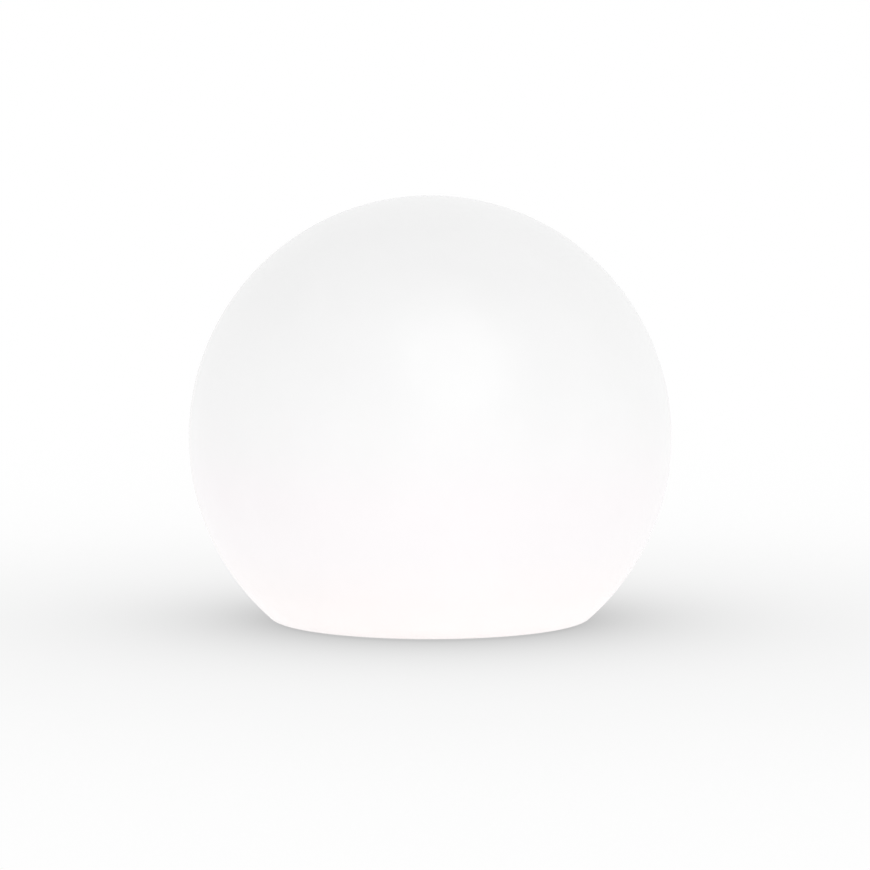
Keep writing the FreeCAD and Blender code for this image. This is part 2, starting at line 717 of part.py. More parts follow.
def vent_plug():
    x, y = VENT_AT
    bottom = plate_bottom + VENT_INSET
    stem = cylinder(VENT_RADIUS, bottom, bottom + VENT_LENGTH, x, y)
    flange = cylinder(VENT_FLANGE_RADIUS, plate_top, plate_top + VENT_FLANGE, x, y)
    breather = cylinder(VENT_BORE, bottom - BEYOND, bottom + VENT_LENGTH + BEYOND, x, y)
    membrane = cylinder(VENT_BORE, bottom + VENT_LENGTH / 2, bottom + VENT_LENGTH / 2 + VENT_INSET, x, y)
    return join([stem.fuse(flange).cut(breather), membrane])


# ---------------------------------------------------------------------------
# Base unit: cells and their cradle
# ---------------------------------------------------------------------------

def cell_bar(side, radius):
    return Part.makeCylinder(radius, CELL_LENGTH, point(-cell_end, side * cell_y, cell_axis), point(1, 0, 0))


def battery_cells():
    cells = []
    for side in (-1, 1):
        bar = cell_bar(side, CELL_RADIUS)
        rims = [edge for edge in bar.Edges if isinstance(edge.Curve, Part.Circle)]
        cells.append(bar.makeFillet(CELL_EDGE, rims))
    return Part.makeCompound(cells)


def battery_link():
    reach = cell_y + TAB_GAP
    return block(cell_end, cell_end + STRIP_THICKNESS, -reach, reach,
                 cell_axis - STRIP_HEIGHT / 2, cell_axis + STRIP_HEIGHT / 2)


def battery_tabs():
    tabs = []
    for low_y in (-TAB_GAP / 2 - TAB_LENGTH, TAB_GAP / 2):
        tabs.append(block(-cell_end - STRIP_THICKNESS, -cell_end, low_y, low_y + TAB_LENGTH,
                          cell_axis - STRIP_HEIGHT / 2, cell_axis + STRIP_HEIGHT / 2))
    return Part.makeCompound(tabs)


def battery_cradle():
    end_inside = cell_end + STRIP_THICKNESS + END_WALL_PLAY
    reach_x = end_inside + END_WALL
    reach_y = cell_y + CELL_RADIUS + CRADLE_MARGIN
    solids = [block(-reach_x, reach_x, -reach_y, reach_y, cradle_bottom, cradle_top)]
    for x in (-saddle_x, saddle_x):
        solids.append(centred_block(x, 0, SADDLE_WIDTH, 2 * reach_y, cradle_bottom, cell_axis))
    for x in (-POST_X, POST_X):
        solids.append(centred_block(x, 0, CRADLE_ARM, 2 * post_y, cradle_bottom, cradle_top))
    for side in (-1, 1):
        for half in (-1, 1):
            near = min(side * end_inside, side * reach_x)
            low = min(half * END_WALL_SLOT / 2, half * 2 * cell_y)
            solids.append(block(near, near + END_WALL, low, low + 2 * cell_y - END_WALL_SLOT / 2,
                                cradle_bottom, cradle_top + END_WALL_HEIGHT))
    holes = [cell_bar(-1, CELL_RADIUS), cell_bar(1, CELL_RADIUS)]
    slot_depth = reach_x - led_lead_x + LEAD_RADIUS + LEAD_SLOT_PLAY
    for side in (-1, 1):
        slot_x = side * (reach_x - slot_depth / 2)
        holes.append(centred_block(slot_x, 0, slot_depth, END_WALL_SLOT, board_top, cradle_top + BEYOND))
    for x, y in post_places():
        solids.append(cylinder(CRADLE_EAR_RADIUS, board_top, ear_top, x, y))
        holes.append(cylinder(SMALL_SCREW_RADIUS + SCREW_PLAY, board_top - BEYOND, ear_top + BEYOND, x, y))
    return remove(join(solids), holes)


def battery_pad():
    reach_x = cell_end - PAD_INSET
    reach_y = cell_y + CELL_RADIUS - PAD_INSET
    return block(-reach_x, reach_x, -reach_y, reach_y, pad_bottom, deck_bottom)


# ---------------------------------------------------------------------------
# Base unit: control board
# ---------------------------------------------------------------------------

def control_board():
    holes = []
    hole_radius = SMALL_SCREW_RADIUS + SCREW_PLAY
    for x, y in post_places():
        holes.append(cylinder(hole_radius, board_bottom - BEYOND, board_top + BEYOND, x, y))
    width = 2 * (LEAD_RADIUS + LEAD_SLOT_PLAY)
    slots = ((led_lead_x, LEAD_PITCH + width), (cell_lead_x, CELL_LEAD_PITCH + width))
    for x, length in slots:
        holes.append(centred_block(x, 0, width, length, board_bottom - BEYOND, board_top + BEYOND))
    return remove(cylinder(board_radius, board_bottom, board_top), holes)


def under_board(size, place):
    length, width, height = size
    return centred_block(place[0], place[1], length, width, board_bottom - height, board_bottom)


def controller_chip():
    return under_board(CONTROLLER_SIZE, CONTROLLER_AT)


def charger_chip():
    return under_board(CHARGER_SIZE, CHARGER_AT)


def power_inductor():
    x, y = INDUCTOR_AT
    case = under_board(INDUCTOR_SIZE, INDUCTOR_AT)
    upright = [edge for edge in case.Edges if edge.BoundBox.ZLength > INDUCTOR_SIZE[2] - TOUCH]
    case = case.makeChamfer(INDUCTOR_CHAMFER, upright)
    low = board_bottom - INDUCTOR_SIZE[2]
    groove = ring(INDUCTOR_CORE_RADIUS, INDUCTOR_CORE_RADIUS + INDUCTOR_GROOVE,
                  low - BEYOND, low + INDUCTOR_GROOVE, x, y)
    return case.cut(groove)


def capacitors():
    cans = []
    for y in CAPACITOR_Y:
        can = cylinder(CAPACITOR_RADIUS, board_bottom - CAPACITOR_HEIGHT, board_bottom, CAPACITOR_X, y)
        cans.append(can.makeFillet(CAPACITOR_ROUND, edges_at(can, board_bottom - CAPACITOR_HEIGHT)))
    return Part.makeCompound(cans)


def lead_connectors():
    """Two-way shrouded connectors, each open towards its leads."""
    shells = []
    low = board_bottom - CONNECTOR_HEIGHT
    for x in (led_connector_x, cell_connector_x):
        shells.append(centred_block(x, 0, CONNECTOR_LENGTH, CONNECTOR_WIDTH, low, board_bottom))
    return Part.makeCompound(shells)


def tact_switch():
    body = centred_block(0, BUTTON_Y, SWITCH_SIZE, SWITCH_SIZE, board_bottom - SWITCH_BODY, board_bottom)
    plunger = cylinder(SWITCH_PLUNGER_RADIUS, plunger_tip, board_bottom - SWITCH_BODY / 2, 0, BUTTON_Y)
    return join([body, plunger])


def rounded_slot(length, width, round_off, low_z, high_z):
    """An upright bar over the port, with its four long edges rounded."""
    bar = centred_block(0, PORT_Y, length, width, low_z, high_z)
    upright = [edge for edge in bar.Edges if edge.BoundBox.ZLength > high_z - low_z - TOUCH]
    return bar.makeFillet(round_off, upright)


def socket_outline(low_z, high_z):
    return rounded_slot(SOCKET_LENGTH, SOCKET_WIDTH, SOCKET_ROUND, low_z, high_z)


def charging_socket():
    """An upright shell round a thin tongue, soldered to the board's underside."""
    shell = socket_outline(port_floor, board_bottom)
    hollow = rounded_slot(SOCKET_LENGTH - 2 * SOCKET_WALL, SOCKET_WIDTH - 2 * SOCKET_WALL,
                          SOCKET_ROUND - SOCKET_WALL, port_floor - BEYOND, port_floor + SOCKET_DEPTH)
    length, width = SOCKET_TONGUE
    tongue = centred_block(0, PORT_Y, length, width, port_floor + width,
                           port_floor + SOCKET_DEPTH + BEYOND)
    return join([shell.cut(hollow), tongue])


def socket_seal():
    outer = centred_block(0, PORT_Y, SOCKET_LENGTH + 2 * SOCKET_SEAL, SOCKET_WIDTH + 2 * SOCKET_SEAL,
                          port_floor, port_floor_top)
    return outer.cut(socket_outline(port_floor - BEYOND, board_bottom))


def status_led():
    return under_board(STATUS_LED_SIZE, STATUS_AT)


def light_pipe():
    x, y = STATUS_AT
    top = board_bottom - STATUS_LED_SIZE[2] - LIGHT_PIPE_GAP
    rod = cylinder(LIGHT_PIPE_RADIUS, plate_bottom, top, x, y)
    collar = cylinder(LIGHT_PIPE_COLLAR, plate_top, plate_top + LIGHT_PIPE_COLLAR_HEIGHT, x, y)
    return join([rod, collar])


def board_screws():
    screws = []
    for x, y in post_places():
        screws.append(screw(x, y, board_bottom, SMALL_SCREW_RADIUS, BOARD_SCREW_LENGTH, SMALL_SCREW_HEAD,
                            SMALL_SCREW_HEAD_HEIGHT, down=False))
    return Part.makeCompound(screws)


# ---------------------------------------------------------------------------
# Button
# ---------------------------------------------------------------------------

def button_seal_bottom():
    return plate_bottom + (PLATE - BUTTON_SEAL_HEIGHT) / 2


def button_cap():
    face = cylinder(BUTTON_RADIUS, button_bottom, button_shoulder, 0, BUTTON_Y)
    face = face.makeFillet(BUTTON_ROUND, edges_at(face, button_bottom))
    flange = cylinder(button_flange_radius, plate_top, button_shoulder, 0, BUTTON_Y)
    stem = cylinder(STEM_RADIUS, button_shoulder, stem_top, 0, BUTTON_Y)
    half_chord = BUTTON_RADIUS - BUTTON_FLANGE
    dish_radius = (half_chord ** 2 + BUTTON_DISH_DEPTH ** 2) / (2 * BUTTON_DISH_DEPTH)
    dish_centre = point(0, BUTTON_Y, button_bottom + BUTTON_DISH_DEPTH - dish_radius)
    return join([face, flange, stem]).cut(Part.makeSphere(dish_radius, dish_centre))


def button_seal():
    inside = BUTTON_RADIUS + BUTTON_SEAL_PLAY
    bottom = button_seal_bottom()
    return ring(inside, inside + BUTTON_SEAL_WIDTH, bottom, bottom + BUTTON_SEAL_HEIGHT, 0, BUTTON_Y)


def button_spring():
    rise = guide_top - button_shoulder - 2 * SPRING_WIRE
    line = Part.makeHelix(rise / SPRING_TURNS, rise, SPRING_RADIUS)
    line.translate(point(0, BUTTON_Y, button_shoulder + SPRING_WIRE))
    start = point(SPRING_RADIUS, BUTTON_Y, button_shoulder + SPRING_WIRE)
    section = Part.Wire([Part.makeCircle(SPRING_WIRE, start, point(0, 1, 0))])
    return Part.Wire(line.Edges).makePipeShell([section], True, True)


def spring_retainer():
    solids = [cylinder(guide_outside, guide_top, retainer_top, 0, BUTTON_Y)]
    holes = [cylinder(STEM_RADIUS + BUTTON_PLAY, guide_top - BEYOND, retainer_top + BEYOND, 0, BUTTON_Y)]
    for side in (-1, 1):
        solids.append(cylinder(LUG_RADIUS, guide_top, retainer_top, side * lug_x, BUTTON_Y))
        holes.append(cylinder(LUG_SCREW_RADIUS + SCREW_PLAY, guide_top - BEYOND, retainer_top + BEYOND,
                              side * lug_x, BUTTON_Y))
    return remove(join(solids), holes)


def retainer_screws():
    screws = []
    for side in (-1, 1):
        screws.append(screw(side * lug_x, BUTTON_Y, retainer_top, LUG_SCREW_RADIUS, LUG_SCREW_LENGTH,
                            LUG_SCREW_HEAD, LUG_SCREW_HEAD_HEIGHT))
    return Part.makeCompound(screws)


# ---------------------------------------------------------------------------
# Port flap
# ---------------------------------------------------------------------------

def port_flap():
    half = flap_length / 2
    leaf = block(-half, half, port_low_y, flap_axis_y, plate_bottom, flap_top)
    free_edge = [edge for edge in edges_at(leaf, plate_bottom) if edge.BoundBox.YMax < port_low_y + TOUCH]
    leaf = leaf.makeFillet(FLAP_EDGE_ROUND, free_edge)
    barrel = flap_pin_bar(FLAP_BARREL_RADIUS, flap_length)
    return join([leaf, barrel]).cut(flap_pin_bar(FLAP_PIN_RADIUS + FLAP_PIN_PLAY, flap_pin_length))


def flap_gasket():
    outer = centred_block(0, PORT_Y, PORT_WELL_LENGTH + 2 * FLAP_GASKET_WIDTH,
                          PORT_WELL_WIDTH + 2 * FLAP_GASKET_WIDTH, flap_top, port_ledge)
    return outer.cut(centred_block(0, PORT_Y, PORT_WELL_LENGTH, PORT_WELL_WIDTH, plate_bottom, port_floor))


def flap_pin():
    return flap_pin_bar(FLAP_PIN_RADIUS, flap_pin_length)


# ---------------------------------------------------------------------------
# Light source and dome
# ---------------------------------------------------------------------------

def led_screw_places():
    return on_circle(LED_SCREW_COUNT, led_screw_circle, LED_SCREW_ANGLE)


def led_places():
    outer = on_circle(OUTER_LED_COUNT, outer_led_circle, 180.0 / OUTER_LED_COUNT)
    return outer + on_circle(INNER_LED_COUNT, INNER_LED_CIRCLE) + [(0.0, 0.0)]


def heat_sink():
    disc = cylinder(heat_sink_radius, deck_top, sink_top)
    cuts = []
    for index in range(HEAT_SINK_FIN_COUNT):
        slot = block(heat_sink_radius - HEAT_SINK_SLOT_DEPTH, heat_sink_radius + BEYOND,
                     -HEAT_SINK_SLOT_WIDTH / 2, HEAT_SINK_SLOT_WIDTH / 2,
                     deck_top + HEAT_SINK_BASE, sink_top + BEYOND)
        slot.rotate(point(0, 0, 0), UP, 360.0 * (index + 0.5) / HEAT_SINK_FIN_COUNT)
        cuts.append(slot)
    for x, y in led_screw_places():
        cuts.append(cylinder(SMALL_SCREW_RADIUS + SCREW_PLAY, deck_top - BEYOND, sink_top + BEYOND, x, y))
    return remove(disc, cuts)


def thermal_pad():
    holes = []
    for x, y in led_screw_places():
        holes.append(cylinder(SMALL_SCREW_RADIUS + SCREW_PLAY, sink_top - BEYOND, led_board_top, x, y))
    return remove(cylinder(led_board_radius - THERMAL_PAD_BORDER, sink_top, led_board_bottom), holes)


def led_board():
    holes = []
    for x, y in led_screw_places():
        holes.append(cylinder(SMALL_SCREW_RADIUS + SCREW_PLAY, sink_top,
                              led_board_top + BEYOND, x, y))
    return remove(cylinder(led_board_radius, led_board_bottom, led_board_top), holes)


def led_packages():
    packages = []
    top = led_board_top + LED_HEIGHT
    for x, y in led_places():
        case = centred_block(x, y, LED_SIZE, LED_SIZE, led_board_top, top)
        packages.append(case.cut(cylinder(LED_LENS_RADIUS, top - LED_LENS_DEPTH, top + BEYOND, x, y)))
    return Part.makeCompound(packages)


def led_board_screws():
    length = led_board_top - deck_bottom - LED_SCREW_END_WALL
    screws = []
    for x, y in led_screw_places():
        screws.append(screw(x, y, led_board_top, SMALL_SCREW_RADIUS, length, SMALL_SCREW_HEAD,
                            SMALL_SCREW_HEAD_HEIGHT))
    return Part.makeCompound(screws)


def dome_cap(inset):
    """A ball that bulges over the dome's flange, drawn in by a wall where wanted."""
    ball_radius = (dome_radius ** 2 + DOME_HEIGHT ** 2) / (2 * DOME_HEIGHT)
    ball = Part.makeSphere(ball_radius - inset, point(0, 0, dome_shoulder + DOME_HEIGHT - ball_radius))
    reach = 2 * ball_radius
    return ball.cut(block(-reach, reach, -reach, reach, dome_bottom - 2 * reach, dome_bottom))


def light_dome():
    flange = cylinder(dome_edge, dome_bottom, dome_shoulder)
    solid = join([dome_cap(0), flange]).cut(dome_cap(DOME_WALL))
    holes = []
    hole_radius = SMALL_SCREW_RADIUS + SCREW_PLAY
    head_room = SMALL_SCREW_HEAD + SCREW_PLAY
    for x, y in on_circle(DOME_SCREW_COUNT, dome_screw_circle, DOME_SCREW_ANGLE):
        holes.append(cylinder(hole_radius, dome_bottom - BEYOND, dome_shoulder + BEYOND, x, y))
        holes.append(cylinder(head_room, dome_shoulder, dome_shoulder + DOME_HEIGHT, x, y))
    return remove(solid, holes)


def dome_gasket():
    gasket = ring(dome_radius, dome_edge, deck_top, dome_bottom)
    holes = []
    hole_radius = SMALL_SCREW_RADIUS + SCREW_PLAY
    for x, y in on_circle(DOME_SCREW_COUNT, dome_screw_circle, DOME_SCREW_ANGLE):
        holes.append(cylinder(hole_radius, deck_top - BEYOND, dome_bottom + BEYOND, x, y))
    return remove(gasket, holes)


def dome_screws():
    screws = []
    for x, y in on_circle(DOME_SCREW_COUNT, dome_screw_circle, DOME_SCREW_ANGLE):
        screws.append(screw(x, y, dome_shoulder, SMALL_SCREW_RADIUS, DOME_SCREW_LENGTH, SMALL_SCREW_HEAD,
                            SMALL_SCREW_HEAD_HEIGHT))
    return Part.makeCompound(screws)


# ---------------------------------------------------------------------------
# Leads and their grommet
# ---------------------------------------------------------------------------

def lead_grommet():
    x = led_lead_x
    body = cylinder(GROMMET_RADIUS, deck_bottom - GROMMET_FLANGE, deck_top + GROMMET_FLANGE, x, 0)
    upper = cylinder(GROMMET_FLANGE_RADIUS, deck_top, deck_top + GROMMET_FLANGE, x, 0)
    lower = cylinder(GROMMET_FLANGE_RADIUS, deck_bottom - GROMMET_FLANGE, deck_bottom, x, 0)
    bores = []
    bore_bottom = deck_bottom - 2 * BEYOND
    for side in (-1, 1):
        bores.append(cylinder(LEAD_RADIUS, bore_bottom, deck_top + 2 * BEYOND, x, side * LEAD_PITCH / 2))
    return remove(join([body, upper, lower]), bores)


def led_leads():
    """From the light board's edge, down through the deck and the board, to their connector."""
    leads = []
    top = led_board_top + LEAD_RADIUS
    for side in (-1, 1):
        y = side * LEAD_PITCH / 2
        stops = [point(led_pad_x, y, top), point(led_lead_x, y, top), point(led_lead_x, y, connector_lead_z),
                 point(led_connector_x + CONNECTOR_LENGTH / 2, y, connector_lead_z)]
        leads.append(lead(stops))
    return Part.makeCompound(leads)


def battery_leads():
    """From the cells' tabs, down past the cradle and through the board, to their connector."""
    leads = []
    for side in (-1, 1):
        y = side * CELL_LEAD_PITCH / 2
        near_y = side * LEAD_PITCH / 2
        stops = [point(-cell_end - STRIP_THICKNESS, y, cell_axis), point(cell_lead_x, y, cell_axis),
                 point(cell_lead_x, near_y, connector_lead_z),
                 point(cell_connector_x - CONNECTOR_LENGTH / 2, near_y, connector_lead_z)]
        leads.append(lead(stops))
    return Part.makeCompound(leads)


# ---------------------------------------------------------------------------
# Every piece, by its node's name
# ---------------------------------------------------------------------------

PIECES = (
    globe_shell, brass_inserts, collar_gasket, neck_collar, collar_screws, slip_ring, base_seal,
    base_housing, bottom_plate, plate_gasket, plate_screws, rubber_feet, ballast_ring, vent_plug,
    battery_cells, battery_link, battery_tabs, battery_cradle, battery_pad,
    control_board, controller_chip, charger_chip, power_inductor, capacitors, lead_connectors,
    tact_switch, charging_socket, socket_seal, status_led, light_pipe, board_screws,
    button_cap, button_seal, button_spring, spring_retainer, retainer_screws,
    port_flap, flap_gasket, flap_pin,
    heat_sink, thermal_pad, led_board, led_packages, led_board_screws,
    light_dome, dome_gasket, dome_screws, lead_grommet, led_leads, battery_leads,
)

os.makedirs("parts", exist_ok=True)
for piece in PIECES:
    shape = piece()
    shape.exportStep(os.path.join("parts", piece.__name__ + ".step"))
    print(piece.__name__, len(shape.Solids), round(shape.Volume, 1), shape.isValid())
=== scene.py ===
import math

import bmesh
import bpy
from mathutils import Matrix, Vector


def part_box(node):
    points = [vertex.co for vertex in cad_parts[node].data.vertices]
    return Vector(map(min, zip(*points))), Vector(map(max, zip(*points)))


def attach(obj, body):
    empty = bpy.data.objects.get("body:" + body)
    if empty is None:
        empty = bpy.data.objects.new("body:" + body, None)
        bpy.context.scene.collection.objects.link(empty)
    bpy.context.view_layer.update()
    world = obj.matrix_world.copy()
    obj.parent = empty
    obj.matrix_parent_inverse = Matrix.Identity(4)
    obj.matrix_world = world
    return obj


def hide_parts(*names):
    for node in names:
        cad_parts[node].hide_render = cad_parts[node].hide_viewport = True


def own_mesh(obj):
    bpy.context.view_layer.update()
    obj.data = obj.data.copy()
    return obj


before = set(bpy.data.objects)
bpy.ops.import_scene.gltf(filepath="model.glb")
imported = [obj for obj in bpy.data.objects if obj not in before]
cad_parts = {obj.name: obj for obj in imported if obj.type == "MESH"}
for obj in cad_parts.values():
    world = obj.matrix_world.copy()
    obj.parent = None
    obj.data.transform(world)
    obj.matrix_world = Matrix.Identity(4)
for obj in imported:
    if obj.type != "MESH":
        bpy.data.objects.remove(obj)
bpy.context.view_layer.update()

# A cordless garden globe light on a white floor. Everything is in metres, z = 0 is the floor,
# and the globe's axis is x = y = 0.

# ---------------------------------------------------------------------------
# Camera: about level with the globe's top and looking down a little, far back with a long lens. The
# frame's shifts are in the picture's pixels.
# ---------------------------------------------------------------------------
MM = 0.001
GLOBE_RADIUS = 150 * MM
GLOBE_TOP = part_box("globe_shell")[1].z
GLOBE_CENTRE = GLOBE_TOP - GLOBE_RADIUS
CAMERA_DISTANCE = 1.8
CAMERA_ELEVATION = math.radians(4.25)
FILM_WIDTH = 36.0
FOCAL_LENGTH = 119.55
PICTURE_WIDTH = 870
FRAME_RIGHT = 4.8
FRAME_UP = 1.8

lens = bpy.data.cameras.new("camera")
lens.sensor_width = FILM_WIDTH
lens.lens = FOCAL_LENGTH
lens.shift_x = FRAME_RIGHT / PICTURE_WIDTH
lens.shift_y = FRAME_UP / PICTURE_WIDTH
camera = bpy.data.objects.new("camera", lens)
bpy.context.scene.collection.objects.link(camera)
towards_camera = Vector((0, -math.cos(CAMERA_ELEVATION), math.sin(CAMERA_ELEVATION)))
camera.location = Vector((0, 0, GLOBE_CENTRE)) + towards_camera * CAMERA_DISTANCE
camera.rotation_euler = (-towards_camera).to_track_quat("-Z", "Y").to_euler()
bpy.context.scene.camera = camera
bpy.context.scene.view_settings.view_transform = "Standard"


# ---------------------------------------------------------------------------
# Light: an even white tent, with one round soft box high in front on the right and a weaker one low
# in front. What is seen or mirrored of the tent is plain white.
# ---------------------------------------------------------------------------
TENT_LEVEL = 0.886
HIGH_BOX_AT = Vector((0.4, -1.72, 1.58))
HIGH_BOX_POWER = 5.7
LOW_BOX_AT = Vector((0.25, -2.4, 0.35))
LOW_BOX_POWER = 1.6
SOFT_BOX_SIZE = 1.9


def add_node(tree, kind, inputs=None, **settings):
    """Adds one node with its settings; each input takes a value or another node's output."""
    made = tree.nodes.new("ShaderNode" + kind)
    for name, value in settings.items():
        setattr(made, name, value)
    for name, value in (inputs or {}).items():
        if isinstance(value, bpy.types.NodeSocket):
            tree.links.new(value, made.inputs[name])
        else:
            made.inputs[name].default_value = value
    return made


def linear(hex_colour):
    """An sRGB hex colour as linear red, green and blue, with full alpha."""
    parts = [int(hex_colour[place:place + 2], 16) / 255 for place in (1, 3, 5)]
    return [part / 12.92 if part <= 0.04045 else ((part + 0.055) / 1.055) ** 2.4 for part in parts] + [1.0]


WHITE = linear("#FFFFFF")

tent = bpy.data.worlds.new("white_tent")
tent.use_nodes = True
bpy.context.scene.world = tent
tree = tent.node_tree
tree.nodes.clear()
lighting = add_node(tree, "Background", {"Color": WHITE, "Strength": TENT_LEVEL})
plain_white = add_node(tree, "Background", {"Color": WHITE, "Strength": 1.0})
ray = add_node(tree, "LightPath").outputs
seen = add_node(tree, "Math", {0: ray["Is Camera Ray"], 1: ray["Is Glossy Ray"]}, operation="MAXIMUM")
seen = add_node(tree, "Math", {0: seen.outputs[0], 1: ray["Is Transmission Ray"]}, operation="MAXIMUM")
chosen = add_node(tree, "MixShader", {0: seen.outputs[0], 1: lighting.outputs[0],
                                      2: plain_white.outputs[0]})
add_node(tree, "OutputWorld", {"Surface": chosen.outputs[0]})

for box_name, box_at, box_power in (("high_box", HIGH_BOX_AT, HIGH_BOX_POWER),
                                    ("low_box", LOW_BOX_AT, LOW_BOX_POWER)):
    box_light = bpy.data.lights.new(box_name, "AREA")
    box_light.shape = "DISK"
    box_light.size = SOFT_BOX_SIZE
    box_light.energy = box_power
    soft_box = bpy.data.objects.new(box_name, box_light)
    bpy.context.scene.collection.objects.link(soft_box)
    soft_box.location = box_at
    soft_box.rotation_euler = (box_at - Vector((0, 0, GLOBE_CENTRE))).to_track_quat("Z", "Y").to_euler()


# ---------------------------------------------------------------------------
# Floor: one smooth white board that runs on out of sight. To the eye it is as white as the tent,
# with the globe's soft shade painted into its glow from how much of the sky the globe hides: a dense
# painted shade round its foot, a little thinner towards the lamps, and a faint one that spreads far.
# ---------------------------------------------------------------------------
FLOOR_HALF = 15.0
FLOOR_WHITE = 0.95
SHADE_REACH = 2.0
SHADE_SAMPLES = 32
SHADE_NEAR = 0.4645
SHADE_FAR = 0.0513
SHADE_SPREAD = 0.108
SHADE_LEAN = 0.155

mesh = bpy.data.meshes.new("floor")
sheet = bmesh.new()
bmesh.ops.create_grid(sheet, x_segments=1, y_segments=1, size=FLOOR_HALF)
sheet.to_mesh(mesh)
sheet.free()
floor = bpy.data.objects.new("floor", mesh)
bpy.context.scene.collection.objects.link(floor)

board = bpy.data.materials.new("white_painted_board")
board.use_nodes = True
tree = board.node_tree
tree.nodes.clear()
open_sky = add_node(tree, "AmbientOcclusion", {"Distance": SHADE_REACH}, samples=SHADE_SAMPLES)
hidden = add_node(tree, "Math", {0: 1.0, 1: open_sky.outputs["AO"]}, operation="SUBTRACT", use_clamp=True)
# The painted shade is thinned on the lamps' side by where each point lies, not by the lamps.
place = add_node(tree, "TexCoord").outputs["Object"]
bearing = add_node(tree, "VectorMath", {0: place}, operation="NORMALIZE")
behind = add_node(tree, "SeparateXYZ", {"Vector": bearing.outputs[0]}).outputs["Y"]
lean = add_node(tree, "Math", {0: behind, 1: SHADE_LEAN, 2: 1.0}, operation="MULTIPLY_ADD")
near_shade = add_node(tree, "Math", {0: hidden.outputs[0], 1: lean.outputs[0]}, operation="MULTIPLY")
spread = add_node(tree, "Math", {0: hidden.outputs[0], 1: SHADE_SPREAD}, operation="POWER")
far_shade = add_node(tree, "Math", {0: spread.outputs[0], 1: SHADE_FAR}, operation="MULTIPLY")
shade = add_node(tree, "Math", {0: near_shade.outputs[0], 1: SHADE_NEAR, 2: far_shade.outputs[0]},
                 operation="MULTIPLY_ADD")
left_white = add_node(tree, "Math", {0: 1.0, 1: shade.outputs[0]}, operation="SUBTRACT")
paint = add_node(tree, "BsdfDiffuse", {"Color": [FLOOR_WHITE] * 3 + [1.0]})
# To the camera the floor is a glow of white less the painted shade, not lit by the lamps.
white_with_painted_shade = add_node(tree, "Emission", {"Color": left_white.outputs[0], "Strength": 1.0})
mirrored = add_node(tree, "Emission", {"Color": WHITE, "Strength": 1.0})
ray = add_node(tree, "LightPath").outputs
chosen = add_node(tree, "MixShader", {0: ray["Is Glossy Ray"], 1: paint.outputs[0],
                                      2: mirrored.outputs[0]})
chosen = add_node(tree, "MixShader", {0: ray["Is Camera Ray"], 1: chosen.outputs[0],
                                      2: white_with_painted_shade.outputs[0]})
add_node(tree, "OutputMaterial", {"Surface": chosen.outputs[0]})
mesh.materials.append(board)


# ---------------------------------------------------------------------------
# Globe: opal polyethylene, rotomoulded in one piece, so its wall is even, its rim is round and
# its skin has a soft orange peel. The light inside makes it glow, most of all near the base.
# ---------------------------------------------------------------------------
WALL = 3 * MM
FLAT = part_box("globe_shell")[0].z
RIM_ROUND = 6 * MM
INNER_RIM_ROUND = 3 * MM
RECESS_RADIUS = 78 * MM
MOUTH_ROUND = 1.2 * MM
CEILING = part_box("collar_gasket")[1].z
NECK_HOLE = 56.5 * MM
CUP_ROUND = 1.5 * MM
BALL_STEPS = 84
ROUND_STEPS = 8
TURN_STEPS = 192
WELD = 0.001 * MM
BOSSES = 6
BOSS_RADIUS = 6 * MM
BOSS_HEIGHT = 9.5 * MM
BOSS_DRAFT = 0.4 * MM
INSERT_RADIUS = 2.6 * MM
INSERT_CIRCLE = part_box("brass_inserts")[1].x - INSERT_RADIUS
INSERT_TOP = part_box("brass_inserts")[1].z
BOSS_SIDES = 32
SHARP_ANGLE = math.radians(35)
CLOUD_LOW = 0.3
CLOUD_HIGH = 0.7
CLOUD_DETAIL = 2.0
GRAIN_DETAIL = 3.0
PATCH = 45.0
PEEL = 2.2
PEEL_DEPTH = 0.02
COAT_ROUGHNESS = 0.27
COAT_IOR = 1.53
FOOT_OF_GLOW = GLOBE_CENTRE - GLOBE_RADIUS
GLOW = ((0.12, "#8D8583"), (0.20, "#7C7170"), (0.30, "#71696C"), (0.40, "#6B6165"), (0.50, "#5E5B5C"),
        (0.60, "#505050"), (0.70, "#434343"), (0.775, "#363636"), (0.85, "#252525"), (0.93, "#050505"))


def line_to(made, last, radius, height):
    """Draws a profile's line on from its last point to a radius and a height."""
    following = made.verts.new((radius, 0, height))
    made.edges.new((last, following))
    return following


def arc_on(made, last, radius, height, degrees, steps):
    """Draws a profile's arc on from its last point, about a centre at a radius and a height."""
    swept = bmesh.ops.spin(made, geom=[last], cent=(radius, 0, height), axis=(0, 1, 0),
                           angle=math.radians(degrees), steps=steps, use_merge=False)
    return [item for item in swept["geom_last"] if isinstance(item, bmesh.types.BMVert)][0]


def rim_of(radius, flat, edge_round):
    """Where the rim's rounding has its centre, and how many degrees it turns, on a ball cut flat."""
    drop = GLOBE_CENTRE - flat - edge_round
    reach = math.sqrt((radius - edge_round) ** 2 - drop ** 2)
    return reach, math.degrees(math.atan2(reach, drop))


def posts(radius, top_radius, bottom, top):
    """Six round posts on the inserts' circle, as one bmesh."""
    made = bmesh.new()
    for number in range(BOSSES):
        stand = Matrix.Rotation(2 * math.pi * number / BOSSES, 4, "Z") @ Matrix.Translation(
            (INSERT_CIRCLE, 0, (bottom + top) / 2))
        bmesh.ops.create_cone(made, cap_ends=True, segments=BOSS_SIDES, radius1=radius, radius2=top_radius,
                              depth=top - bottom, matrix=stand)
    return made


